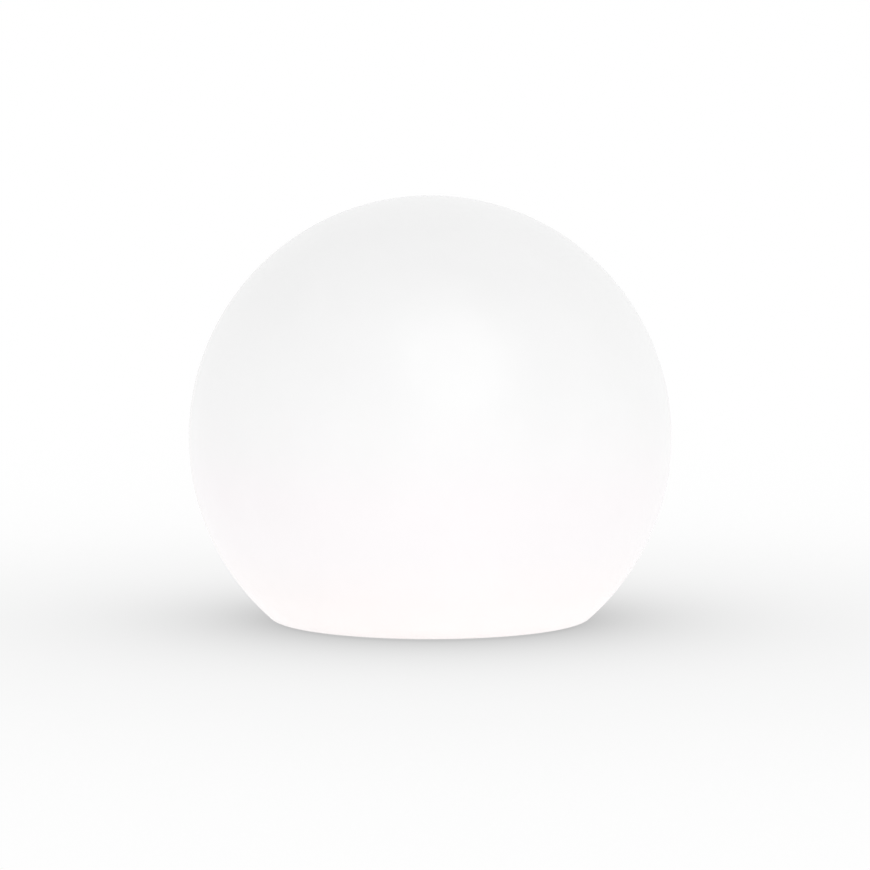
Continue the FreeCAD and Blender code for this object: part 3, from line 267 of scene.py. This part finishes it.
def worked(mesh_so_far, tool, operation):
    """The mesh with a bmesh tool joined to it or cut from it."""
    tool_mesh = bpy.data.meshes.new("tool")
    tool.to_mesh(tool_mesh)
    tool.free()
    tool_piece = bpy.data.objects.new("tool", tool_mesh)
    blank = bpy.data.objects.new("blank", mesh_so_far)
    for item in (tool_piece, blank):
        bpy.context.scene.collection.objects.link(item)
    step = blank.modifiers.new("step", "BOOLEAN")
    step.operation = operation
    step.solver = "EXACT"
    step.object = tool_piece
    result = bpy.data.meshes.new_from_object(blank.evaluated_get(bpy.context.evaluated_depsgraph_get()))
    for item in (tool_piece, blank):
        bpy.data.objects.remove(item)
    return result


def surface(name, colour, roughness, ior=1.5, metallic=0.0):
    """A material whose even values are set on its shader; returns it, its tree and its shader."""
    made = bpy.data.materials.new(name)
    made.use_nodes = True
    shader = made.node_tree.nodes["Principled BSDF"]
    shader.inputs["Base Color"].default_value = linear(colour)
    shader.inputs["Roughness"].default_value = roughness
    shader.inputs["IOR"].default_value = ior
    shader.inputs["Metallic"].default_value = metallic
    return made, made.node_tree, shader


def wander(tree, shader, first, second, patch, smooth, rough):
    """Lets colour and gloss change together, slowly, in patches of so many millimetres."""
    place = add_node(tree, "TexCoord").outputs["Object"]
    cloud = add_node(tree, "TexNoise", {"Vector": place, "Scale": 1 / (patch * MM), "Detail": CLOUD_DETAIL})
    share = add_node(tree, "MapRange", {"Value": cloud.outputs["Fac"], "From Min": CLOUD_LOW,
                                        "From Max": CLOUD_HIGH})
    colour = add_node(tree, "Mix", {0: share.outputs[0], 6: linear(first), 7: linear(second)},
                      data_type="RGBA")
    gloss = add_node(tree, "MapRange", {"Value": share.outputs[0], "To Min": smooth, "To Max": rough})
    tree.links.new(colour.outputs[2], shader.inputs["Base Color"])
    tree.links.new(gloss.outputs[0], shader.inputs["Roughness"])
    return colour.outputs[2]


def grain(tree, shader, size, depth, squeeze=(1, 1, 1)):
    """Raises a grain of lumps, size and depth in millimetres, made finer along an axis by squeeze."""
    place = add_node(tree, "TexCoord").outputs["Object"]
    held = add_node(tree, "Mapping", {"Vector": place, "Scale": squeeze})
    lumps = add_node(tree, "TexNoise", {"Vector": held.outputs[0], "Scale": 1 / (size * MM),
                                        "Detail": GRAIN_DETAIL})
    raised = add_node(tree, "Bump", {"Height": lumps.outputs["Fac"], "Distance": depth * MM})
    tree.links.new(raised.outputs["Normal"], shader.inputs["Normal"])
    return lumps.outputs["Fac"]


def dress(finish, *nodes):
    """Gives a finish to carried-over parts."""
    for name in nodes:
        part_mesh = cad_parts[name].data
        part_mesh.materials.clear()
        part_mesh.materials.append(finish)


# Polyethylene as it leaves a smooth mould: a satin body with a thin glossier skin, which is what
# brightens the globe's outline. The glow's hex colours are what the lamp adds, from the foot up.
opal, tree, skin = surface("opal_polyethylene_rotomoulded", "#EFEFEF", roughness=0.42)
skin.inputs["Coat Weight"].default_value = 1.0
skin.inputs["Coat Roughness"].default_value = COAT_ROUGHNESS
skin.inputs["Coat IOR"].default_value = COAT_IOR
wander(tree, skin, "#EEEEEE", "#F0F0F0", patch=PATCH, smooth=0.39, rough=0.45)
grain(tree, skin, PEEL, PEEL_DEPTH)
place = add_node(tree, "TexCoord").outputs["Object"]
height = add_node(tree, "SeparateXYZ", {"Vector": place}).outputs["Z"]
level = add_node(tree, "MapRange", {"Value": height, "From Min": FOOT_OF_GLOW, "From Max": GLOBE_TOP})
glow = add_node(tree, "ValToRGB", {"Fac": level.outputs[0]})
for stop, (share, colour) in enumerate(GLOW):
    while len(glow.color_ramp.elements) <= stop:
        glow.color_ramp.elements.new(1.0)
    glow.color_ramp.elements[stop].position = share
    glow.color_ramp.elements[stop].color = linear(colour)
tree.links.new(glow.outputs["Color"], skin.inputs["Emission Color"])
skin.inputs["Emission Strength"].default_value = 1.0

shell = bmesh.new()
rim_reach, rim_turn = rim_of(GLOBE_RADIUS, FLAT, RIM_ROUND)
at = shell.verts.new((0, 0, GLOBE_TOP))
at = arc_on(shell, at, 0, GLOBE_CENTRE, 180 - rim_turn, BALL_STEPS)
at = arc_on(shell, at, rim_reach, FLAT + RIM_ROUND, rim_turn, ROUND_STEPS)
at = line_to(shell, at, RECESS_RADIUS + MOUTH_ROUND, FLAT)
at = arc_on(shell, at, RECESS_RADIUS + MOUTH_ROUND, FLAT + MOUTH_ROUND, 90, ROUND_STEPS)
at = line_to(shell, at, RECESS_RADIUS, CEILING)
at = line_to(shell, at, NECK_HOLE, CEILING)
at = line_to(shell, at, NECK_HOLE, CEILING + WALL)
at = line_to(shell, at, RECESS_RADIUS + WALL - CUP_ROUND, CEILING + WALL)
at = arc_on(shell, at, RECESS_RADIUS + WALL - CUP_ROUND, CEILING + WALL - CUP_ROUND, 90, ROUND_STEPS)
at = line_to(shell, at, RECESS_RADIUS + WALL, FLAT + WALL)
rim_reach, rim_turn = rim_of(GLOBE_RADIUS - WALL, FLAT + WALL, INNER_RIM_ROUND)
at = line_to(shell, at, rim_reach, FLAT + WALL)
at = arc_on(shell, at, rim_reach, FLAT + WALL + INNER_RIM_ROUND, -rim_turn, ROUND_STEPS)
at = arc_on(shell, at, 0, GLOBE_CENTRE, rim_turn - 180, BALL_STEPS)
bmesh.ops.spin(shell, geom=shell.verts[:] + shell.edges[:], cent=(0, 0, 0), axis=(0, 0, 1),
               angle=2 * math.pi, steps=TURN_STEPS, use_merge=True)
bmesh.ops.remove_doubles(shell, verts=shell.verts[:], dist=WELD)
bmesh.ops.recalc_face_normals(shell, faces=shell.faces[:])
shell_mesh = bpy.data.meshes.new("opal_globe")
shell.to_mesh(shell_mesh)
shell.free()
bosses = posts(BOSS_RADIUS + BOSS_DRAFT, BOSS_RADIUS, CEILING + WALL / 2, CEILING + BOSS_HEIGHT)
pockets = posts(INSERT_RADIUS, INSERT_RADIUS, CEILING - WALL, INSERT_TOP)
shell_mesh = worked(shell_mesh, bosses, "UNION")
shell_mesh = worked(shell_mesh, pockets, "DIFFERENCE")
shell_mesh.materials.clear()
shell_mesh.materials.append(opal)
shell_mesh.shade_smooth()
shell_mesh.set_sharp_from_angle(angle=SHARP_ANGLE)

globe = bpy.data.objects.new("opal_globe", shell_mesh)
bpy.context.scene.collection.objects.link(globe)
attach(globe, "globe")
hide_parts("globe_shell")


# ---------------------------------------------------------------------------
# Inserts: six brass bushes, turned and knurled, moulded into the bosses over the globe's recess so
# that metal screws can hold the collar.
# ---------------------------------------------------------------------------
KNURL = 0.8
KNURL_DEPTH = 0.06
# A wave texture of scale 1 repeats its bands every tenth of pi, and its slanted ones every fifth.
WAVE = math.pi / 10

brass, tree, shader = surface("brass_turned_and_knurled", "#C9A45C", roughness=0.28, metallic=1.0)
wander(tree, shader, "#B98F48", "#D2AE66", patch=3.0, smooth=0.22, rough=0.36)
place = add_node(tree, "TexCoord").outputs["Object"]
mirrored_place = add_node(tree, "Mapping", {"Vector": place, "Scale": (1, 1, -1)})
one_way = add_node(tree, "TexWave", {"Vector": place, "Scale": 2 * WAVE / (KNURL * MM)},
                   bands_direction="DIAGONAL")
other_way = add_node(tree, "TexWave", {"Vector": mirrored_place.outputs[0],
                                       "Scale": 2 * WAVE / (KNURL * MM)}, bands_direction="DIAGONAL")
diamonds = add_node(tree, "Math", {0: one_way.outputs["Fac"], 1: other_way.outputs["Fac"]},
                    operation="MULTIPLY")
raised = add_node(tree, "Bump", {"Height": diamonds.outputs[0], "Distance": KNURL_DEPTH * MM})
tree.links.new(raised.outputs["Normal"], shader.inputs["Normal"])
dress(brass, "brass_inserts")


# ---------------------------------------------------------------------------
# Moulded plastics. Collar, housing and bottom plate are white ABS from tools with a spark-eroded
# skin, an even fine grain; the slip ring is acetal, smooth and waxy; cradle, vent and the spring's
# retainer are black nylon.
# ---------------------------------------------------------------------------
GLOSS_CHANGE = 0.05
PIT_RIM = 0.47
PIT_FLOOR = 0.34
PAINTED_PIT_SHADE = 0.86


def moulded(name, light, dark, roughness, grit, depth, patch=18.0, ior=1.5):
    """A moulded plastic or rubber: slow change of tone and gloss under a grain, with painted shade in its
    pits.
    """
    made, tree, shader = surface(name, light, roughness, ior=ior)
    shade_of = wander(tree, shader, dark, light, patch=patch, smooth=roughness - GLOSS_CHANGE,
                      rough=roughness + GLOSS_CHANGE)
    lumps = grain(tree, shader, grit, depth)
    # Where the grain sinks the colour is darkened: painted shade in the pits, so the grain shows under even
    # light.
    pit = add_node(tree, "MapRange", {"Value": lumps, "From Min": PIT_RIM, "From Max": PIT_FLOOR})
    painted_pit_shade_colour = [PAINTED_PIT_SHADE * part for part in linear(dark)]
    pitted_with_painted_shade = add_node(tree, "Mix", {0: pit.outputs[0], 6: shade_of, 7: painted_pit_shade_colour}, data_type="RGBA")
    tree.links.new(pitted_with_painted_shade.outputs[2], shader.inputs["Base Color"])
    return made


# The real erosion grain is about 0.1 mm; 0.5 mm is as fine as shows from a metre away.
white_abs = moulded("abs_white_spark_eroded", "#E5E5E2", "#E0E0DD", roughness=0.46,
                    grit=0.5, depth=0.06, ior=1.54)
acetal = moulded("acetal_natural_moulded", "#DAD9D2", "#D0CFC7", roughness=0.30,
                 grit=2.5, depth=0.01, ior=1.48)
black_nylon = moulded("nylon_black_glass_filled", "#1E1E1F", "#151516", roughness=0.50,
                      grit=0.6, depth=0.07, ior=1.53)
dress(white_abs, "neck_collar", "base_housing", "bottom_plate")
dress(acetal, "slip_ring")
dress(black_nylon, "vent_plug", "battery_cradle", "spring_retainer")


# ---------------------------------------------------------------------------
# Rubbers. The flat gaskets are grey silicone, the moving and plugged-in seals black nitrile, and
# the feet a harder grey rubber, coarser and a little dusty where they stand.
# ---------------------------------------------------------------------------
grey_silicone = moulded("silicone_grey_moulded", "#7D7F80", "#727475", roughness=0.62,
                        grit=0.8, depth=0.05, ior=1.41)
black_nitrile = moulded("nitrile_rubber_black_moulded", "#232323", "#1A1A1A", roughness=0.66,
                        grit=0.7, depth=0.06)
foot_rubber = moulded("rubber_grey_moulded", "#5E5F60", "#4E4F50", roughness=0.74,
                      grit=0.6, depth=0.10, patch=6.0)
dress(grey_silicone, "collar_gasket", "plate_gasket", "dome_gasket")
dress(black_nitrile, "base_seal", "button_seal", "socket_seal", "flap_gasket", "lead_grommet")
dress(foot_rubber, "rubber_feet")


# ---------------------------------------------------------------------------
# Button and port flap: grey thermoplastic elastomer with a soft-touch skin. They are the only two
# things that a finger works, so they are darker than the white round them.
# ---------------------------------------------------------------------------
soft_grey = moulded("elastomer_grey_soft_touch", "#A4A6A7", "#989A9B", roughness=0.70,
                    grit=0.4, depth=0.05, ior=1.48)
dress(soft_grey, "button_cap", "port_flap")


# ---------------------------------------------------------------------------
# Drawn and headed steel. Screws and the flap's pin are stainless wire, headed cold; the button's
# spring is drawn wire; the charging socket's shell is nickel-plated strip, drawn to its mouth.
# ---------------------------------------------------------------------------
STAIN = 12
DRAWN_BRIGHTER = 0.07
DRAWN_DULLER = 0.09


def drawn(name, light, dark, roughness, line, depth, squeeze=(1, 1, 1)):
    """A drawn metal with tool lines so many millimetres apart, stain in patches and uneven polish."""
    made, tree, shader = surface(name, light, roughness, metallic=1.0)
    wander(tree, shader, dark, light, patch=line * STAIN, smooth=roughness - DRAWN_BRIGHTER,
           rough=roughness + DRAWN_DULLER)
    grain(tree, shader, line, depth, squeeze)
    return made


stainless = drawn("stainless_steel_cold_headed", "#BFC0C1", "#A9AAAB", roughness=0.26,
                  line=0.4, depth=0.01, squeeze=(1, 1, 6))
spring_wire = drawn("spring_steel_drawn", "#B4B5B7", "#9A9B9D", roughness=0.24,
                    line=0.3, depth=0.005, squeeze=(6, 6, 1))
plated = drawn("steel_strip_nickel_plated", "#C8C8C6", "#B2B1AC", roughness=0.22,
               line=0.5, depth=0.005, squeeze=(1, 6, 1))
dress(stainless, "collar_screws", "plate_screws", "board_screws", "retainer_screws",
      "led_board_screws", "dome_screws", "flap_pin")
dress(plated, "charging_socket")


# ---------------------------------------------------------------------------
# Return spring: round wire, wound with its end turns closed. It stands between the button's flange
# and the retainer. In the light it gets shorter by the button's travel; here it is a fixed coil on the base
# unit.
# ---------------------------------------------------------------------------
SPRING_WIRE = 0.3 * MM
SPRING_PLAY = 0.01 * MM
END_TURNS = 0.75
OPEN_TURNS = 2.5
WIRE_SIDES = 16
STEPS_PER_TURN = 48

spring_low, spring_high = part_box("button_spring")
spring_axis = (spring_low + spring_high) / 2
spring_radius = (spring_high.x - spring_low.x) / 2 - SPRING_WIRE
spring_height = spring_high.z - spring_low.z
spring_rise = spring_height - 2 * (SPRING_WIRE + SPRING_PLAY)
end_pitch = 2 * SPRING_WIRE + SPRING_PLAY
open_pitch = (spring_rise - 2 * END_TURNS * end_pitch) / OPEN_TURNS

coil = bmesh.new()
wire_start = Vector((spring_axis.x + spring_radius, spring_axis.y,
                     spring_low.z + SPRING_WIRE + SPRING_PLAY))
bmesh.ops.create_circle(coil, segments=WIRE_SIDES, radius=SPRING_WIRE,
                        matrix=Matrix.Translation(wire_start) @ Matrix.Rotation(math.pi / 2, 4, "X"))
at = coil.verts[:] + coil.edges[:]
for turns, pitch in ((END_TURNS, end_pitch), (OPEN_TURNS, open_pitch), (END_TURNS, end_pitch)):
    steps = round(turns * STEPS_PER_TURN)
    at = bmesh.ops.spin(coil, geom=at, cent=spring_axis, axis=(0, 0, 1), dvec=(0, 0, turns * pitch / steps),
                        angle=2 * math.pi * turns, steps=steps, use_merge=False)["geom_last"]
bmesh.ops.holes_fill(coil, edges=coil.edges[:], sides=WIRE_SIDES)
bmesh.ops.recalc_face_normals(coil, faces=coil.faces[:])
spring_mesh = bpy.data.meshes.new("return_spring")
coil.to_mesh(spring_mesh)
coil.free()
spring_mesh.materials.append(spring_wire)
spring_mesh.shade_smooth()
spring_mesh.set_sharp_from_angle(angle=SHARP_ANGLE)

spring = bpy.data.objects.new("return_spring", spring_mesh)
bpy.context.scene.collection.objects.link(spring)
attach(spring, "base_unit")
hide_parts("button_spring")
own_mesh(spring)


# ---------------------------------------------------------------------------
# Turned metal: the ballast ring is mild steel, faced and zinc plated, and the heat sink is milled
# aluminium. Both are round the globe's axis and keep the rings that the tool left.
# ---------------------------------------------------------------------------
TARNISH = 9.0
FACED_BRIGHTER = 0.06
FACED_DULLER = 0.08
RING_WAVER = 0.4


def faced(name, light, dark, roughness, line, depth):
    """A metal faced on a lathe, with rings round the axis so many millimetres apart."""
    made, tree, shader = surface(name, light, roughness, metallic=1.0)
    wander(tree, shader, dark, light, patch=TARNISH, smooth=roughness - FACED_BRIGHTER,
           rough=roughness + FACED_DULLER)
    place = add_node(tree, "TexCoord").outputs["Object"]
    rings = add_node(tree, "TexWave", {"Vector": place, "Scale": WAVE / (line * MM),
                                       "Distortion": RING_WAVER},
                     wave_type="RINGS", rings_direction="Z")
    raised = add_node(tree, "Bump", {"Height": rings.outputs["Fac"], "Distance": depth * MM})
    tree.links.new(raised.outputs["Normal"], shader.inputs["Normal"])
    return made


# Real feed marks are 0.1 to 0.2 mm apart; these are as coarse as they need to be to show.
zinc_plated = faced("steel_turned_zinc_plated", "#A7ABB1", "#8F939A", roughness=0.34, line=0.8, depth=0.02)
milled = faced("aluminium_milled", "#C7C9CC", "#B4B7BB", roughness=0.32, line=1.0, depth=0.02)
dress(zinc_plated, "ballast_ring")
dress(milled, "heat_sink")


# ---------------------------------------------------------------------------
# Cells: two round lithium cells in blue shrink film, bare at their ends, joined by spot-welded
# nickel strip and kept down by a pad of closed-cell foam.
# ---------------------------------------------------------------------------
FILM_SHORT = 0.4 * MM
FILM_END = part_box("battery_cells")[1].x - FILM_SHORT
WRINKLE = 7.0
WRINKLE_DEPTH = 0.06
WELD_PITCH = 2.4
WELD_CORE = 0.12
WELD_EDGE = 0.24
WELD_DEPTH = 0.06
PORE = 0.9
PORE_DEPTH = 0.25

film, tree, shader = surface("pvc_shrink_film_blue", "#2B5E96", roughness=0.24, ior=1.53)
blue = wander(tree, shader, "#28588E", "#30669F", patch=WRINKLE, smooth=0.20, rough=0.30)
grain(tree, shader, WRINKLE, WRINKLE_DEPTH, squeeze=(4, 1, 1))
place = add_node(tree, "TexCoord").outputs["Object"]
along = add_node(tree, "SeparateXYZ", {"Vector": place}).outputs["X"]
reach = add_node(tree, "Math", {0: along}, operation="ABSOLUTE")
bare = add_node(tree, "Math", {0: reach.outputs[0], 1: FILM_END}, operation="GREATER_THAN")
both = add_node(tree, "Mix", {0: bare.outputs[0], 6: blue, 7: linear("#B4B4B0")}, data_type="RGBA")
tree.links.new(both.outputs[2], shader.inputs["Base Color"])
tree.links.new(bare.outputs[0], shader.inputs["Metallic"])
dress(film, "battery_cells")

nickel, tree, shader = surface("nickel_strip_rolled", "#BAB8B2", roughness=0.30, metallic=1.0)
strip = wander(tree, shader, "#AFADA6", "#BDBBB6", patch=4.0, smooth=0.24, rough=0.38)
place = add_node(tree, "TexCoord").outputs["Object"]
welds = add_node(tree, "TexVoronoi", {"Vector": place, "Scale": 1 / (WELD_PITCH * MM), "Randomness": 0.0})
pit = add_node(tree, "MapRange", {"Value": welds.outputs["Distance"], "From Min": WELD_CORE,
                                  "From Max": WELD_EDGE})
burnt = add_node(tree, "Mix", {0: pit.outputs[0], 6: linear("#8E8A82"), 7: strip}, data_type="RGBA")
raised = add_node(tree, "Bump", {"Height": pit.outputs[0], "Distance": WELD_DEPTH * MM})
tree.links.new(burnt.outputs[2], shader.inputs["Base Color"])
tree.links.new(raised.outputs["Normal"], shader.inputs["Normal"])
dress(nickel, "battery_link", "battery_tabs")

foam, tree, shader = surface("polyethylene_foam_cut", "#3A3B3D", roughness=0.88)
place = add_node(tree, "TexCoord").outputs["Object"]
pores = add_node(tree, "TexVoronoi", {"Vector": place, "Scale": 1 / (PORE * MM)})
# The pores are darker towards their sunken centres: painted shade in the hollows.
pores_with_painted_shade = add_node(tree, "Mix", {0: pores.outputs["Distance"], 6: linear("#26272A"), 7: linear("#4A4C4F")},
                   data_type="RGBA")
raised = add_node(tree, "Bump", {"Height": pores.outputs["Distance"], "Distance": PORE_DEPTH * MM})
tree.links.new(pores_with_painted_shade.outputs[2], shader.inputs["Base Color"])
tree.links.new(raised.outputs["Normal"], shader.inputs["Normal"])
dress(foam, "battery_pad")


# ---------------------------------------------------------------------------
# Control board: glass epoxy under green solder mask, raised where its copper tracks run, with
# tinned holes. On it sit moulded chips, a sintered coil, two drawn cans and nylon plugs.
# ---------------------------------------------------------------------------
TRACK_PITCH = 2.2
TRACK_LENGTH = 9.0
TRACK_SHARE = 0.15
TRACK_DEPTH = 0.04
HOLE_PITCH = 5.0
HOLE_SHARE = 0.09

mask, tree, shader = surface("glass_epoxy_green_mask", "#1E6B43", roughness=0.30, ior=1.55)
green = wander(tree, shader, "#1B6340", "#20704A", patch=8.0, smooth=0.26, rough=0.36)
place = add_node(tree, "TexCoord").outputs["Object"]
tracks = add_node(tree, "TexBrick", {"Vector": place, "Scale": 1 / (TRACK_PITCH * MM),
                                     "Brick Width": TRACK_LENGTH, "Row Height": 1.0,
                                     "Mortar Size": TRACK_SHARE})
over_copper = add_node(tree, "Mix", {0: tracks.outputs["Fac"], 6: green, 7: linear("#2F8A58")},
                       data_type="RGBA")
holes = add_node(tree, "TexVoronoi", {"Vector": place, "Scale": 1 / (HOLE_PITCH * MM)})
tinned = add_node(tree, "Math", {0: holes.outputs["Distance"], 1: HOLE_SHARE}, operation="LESS_THAN")
with_holes = add_node(tree, "Mix", {0: tinned.outputs[0], 6: over_copper.outputs[2], 7: linear("#B9B7A8")},
                      data_type="RGBA")
raised = add_node(tree, "Bump", {"Height": tracks.outputs["Fac"], "Distance": TRACK_DEPTH * MM})
tree.links.new(with_holes.outputs[2], shader.inputs["Base Color"])
tree.links.new(raised.outputs["Normal"], shader.inputs["Normal"])
dress(mask, "control_board")

chip_epoxy = moulded("chip_epoxy_moulded", "#262628", "#1C1C1E", roughness=0.48,
                     grit=0.15, depth=0.01, patch=2.0)
ferrite = moulded("ferrite_sintered", "#4A4A4B", "#3C3C3D", roughness=0.58,
                  grit=0.3, depth=0.03, patch=2.5)
ivory_nylon = moulded("nylon_ivory_moulded", "#E5DFCE", "#DAD3C0", roughness=0.44,
                      grit=0.4, depth=0.01, patch=4.0)
drawn_can = drawn("aluminium_can_drawn", "#C6C7CA", "#AEB0B4", roughness=0.25,
                  line=0.5, depth=0.01, squeeze=(1, 1, 5))
dress(chip_epoxy, "controller_chip", "charger_chip", "tact_switch")
dress(ferrite, "power_inductor")
dress(ivory_nylon, "lead_connectors")
dress(drawn_can, "capacitors")


# ---------------------------------------------------------------------------
# Light source: white packages, each with a sunk yellow phosphor face, on an aluminium board with a
# white mask, bedded on a soft pad that takes the heat to the sink. The status light is made alike.
# ---------------------------------------------------------------------------
GEL_SUNK = 0.2 * MM
GEL_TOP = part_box("led_packages")[1].z - GEL_SUNK
GEL_FACING = 0.9
LAND_PITCH = 12.0
LAND_EDGE = (0.45, 0.55)
LAND_DEPTH = 0.04

pad = moulded("silicone_thermal_pad", "#A6A5B8", "#9A99AD", roughness=0.72,
              grit=0.5, depth=0.02, patch=5.0, ior=1.41)
dress(pad, "thermal_pad")

white_mask, tree, shader = surface("aluminium_board_white_mask", "#EFEEEA", roughness=0.34, ior=1.55)
plain_mask = wander(tree, shader, "#ECEBE6", "#F1F0ED", patch=6.0, smooth=0.30, rough=0.40)
place = add_node(tree, "TexCoord").outputs["Object"]
lands = add_node(tree, "TexWave", {"Vector": place, "Scale": WAVE / (LAND_PITCH * MM)},
                 wave_type="RINGS", rings_direction="Z")
copper = add_node(tree, "MapRange", {"Value": lands.outputs["Fac"], "From Min": LAND_EDGE[0],
                                     "From Max": LAND_EDGE[1]})
over_copper = add_node(tree, "Mix", {0: copper.outputs[0], 6: plain_mask, 7: linear("#E6E3D8")},
                       data_type="RGBA")
raised = add_node(tree, "Bump", {"Height": copper.outputs[0], "Distance": LAND_DEPTH * MM})
tree.links.new(over_copper.outputs[2], shader.inputs["Base Color"])
tree.links.new(raised.outputs["Normal"], shader.inputs["Normal"])
dress(white_mask, "led_board")

phosphor, tree, shader = surface("silicone_phosphor_cast", "#F0E9D8", roughness=0.38, ior=1.41)
case = wander(tree, shader, "#E6E4DC", "#F4F2EC", patch=1.0, smooth=0.32, rough=0.44)
grain(tree, shader, size=0.5, depth=0.01)
place = add_node(tree, "TexCoord").outputs["Object"]
height = add_node(tree, "SeparateXYZ", {"Vector": place}).outputs["Z"]
facing = add_node(tree, "NewGeometry").outputs["Normal"]
upward = add_node(tree, "SeparateXYZ", {"Vector": facing}).outputs["Z"]
sunk = add_node(tree, "Math", {0: height, 1: GEL_TOP}, operation="LESS_THAN")
level_face = add_node(tree, "Math", {0: upward, 1: GEL_FACING}, operation="GREATER_THAN")
gel = add_node(tree, "Math", {0: sunk.outputs[0], 1: level_face.outputs[0]}, operation="MULTIPLY")
both = add_node(tree, "Mix", {0: gel.outputs[0], 6: case, 7: linear("#EACA58")}, data_type="RGBA")
lit = add_node(tree, "Mix", {0: gel.outputs[0], 6: linear("#000000"), 7: linear("#FFF4DC")},
               data_type="RGBA")
tree.links.new(both.outputs[2], shader.inputs["Base Color"])
tree.links.new(lit.outputs[2], shader.inputs["Emission Color"])
shader.inputs["Emission Strength"].default_value = 1.0
dress(phosphor, "led_packages", "status_led")


# ---------------------------------------------------------------------------
# Dome: polycarbonate, frosted by its mould so that it hides the packages and spreads their light,
# which shows as an even glow of its own.
# ---------------------------------------------------------------------------
frosted, tree, shader = surface("polycarbonate_frosted_moulded", "#ECECEA", roughness=0.55, ior=1.58)
wander(tree, shader, "#E8E8E5", "#F0F0EE", patch=14.0, smooth=0.50, rough=0.62)
grain(tree, shader, size=0.5, depth=0.03)
shader.inputs["Emission Color"].default_value = linear("#92908C")
shader.inputs["Emission Strength"].default_value = 1.0
dress(frosted, "light_dome")


# ---------------------------------------------------------------------------
# Light pipe: a clear acrylic pin, moulded and left bright, that brings the status light down to
# the underside.
# ---------------------------------------------------------------------------
acrylic, tree, shader = surface("acrylic_clear_moulded", "#F4F7F7", roughness=0.06, ior=1.49)
shader.inputs["Transmission Weight"].default_value = 0.9
wander(tree, shader, "#EEF2F2", "#F8FAFA", patch=1.5, smooth=0.04, rough=0.10)
grain(tree, shader, size=1.2, depth=0.02, squeeze=(1, 1, 0.2))
dress(acrylic, "light_pipe")


# ---------------------------------------------------------------------------
# Leads: stranded wire in soft silicone. The two of a pair run side by side along the x axis, one
# black and the other red.
# ---------------------------------------------------------------------------
silicone, tree, shader = surface("silicone_wire_insulation", "#A81D18", roughness=0.48, ior=1.41)
red = wander(tree, shader, "#8E1512", "#AC1F19", patch=2.0, smooth=0.42, rough=0.55)
grain(tree, shader, size=0.5, depth=0.02)
place = add_node(tree, "TexCoord").outputs["Object"]
side = add_node(tree, "SeparateXYZ", {"Vector": place}).outputs["Y"]
second = add_node(tree, "Math", {0: side, 1: 0.0}, operation="GREATER_THAN")
both = add_node(tree, "Mix", {0: second.outputs[0], 6: linear("#1B1B1B"), 7: red}, data_type="RGBA")
tree.links.new(both.outputs[2], shader.inputs["Base Color"])
dress(silicone, "led_leads", "battery_leads")
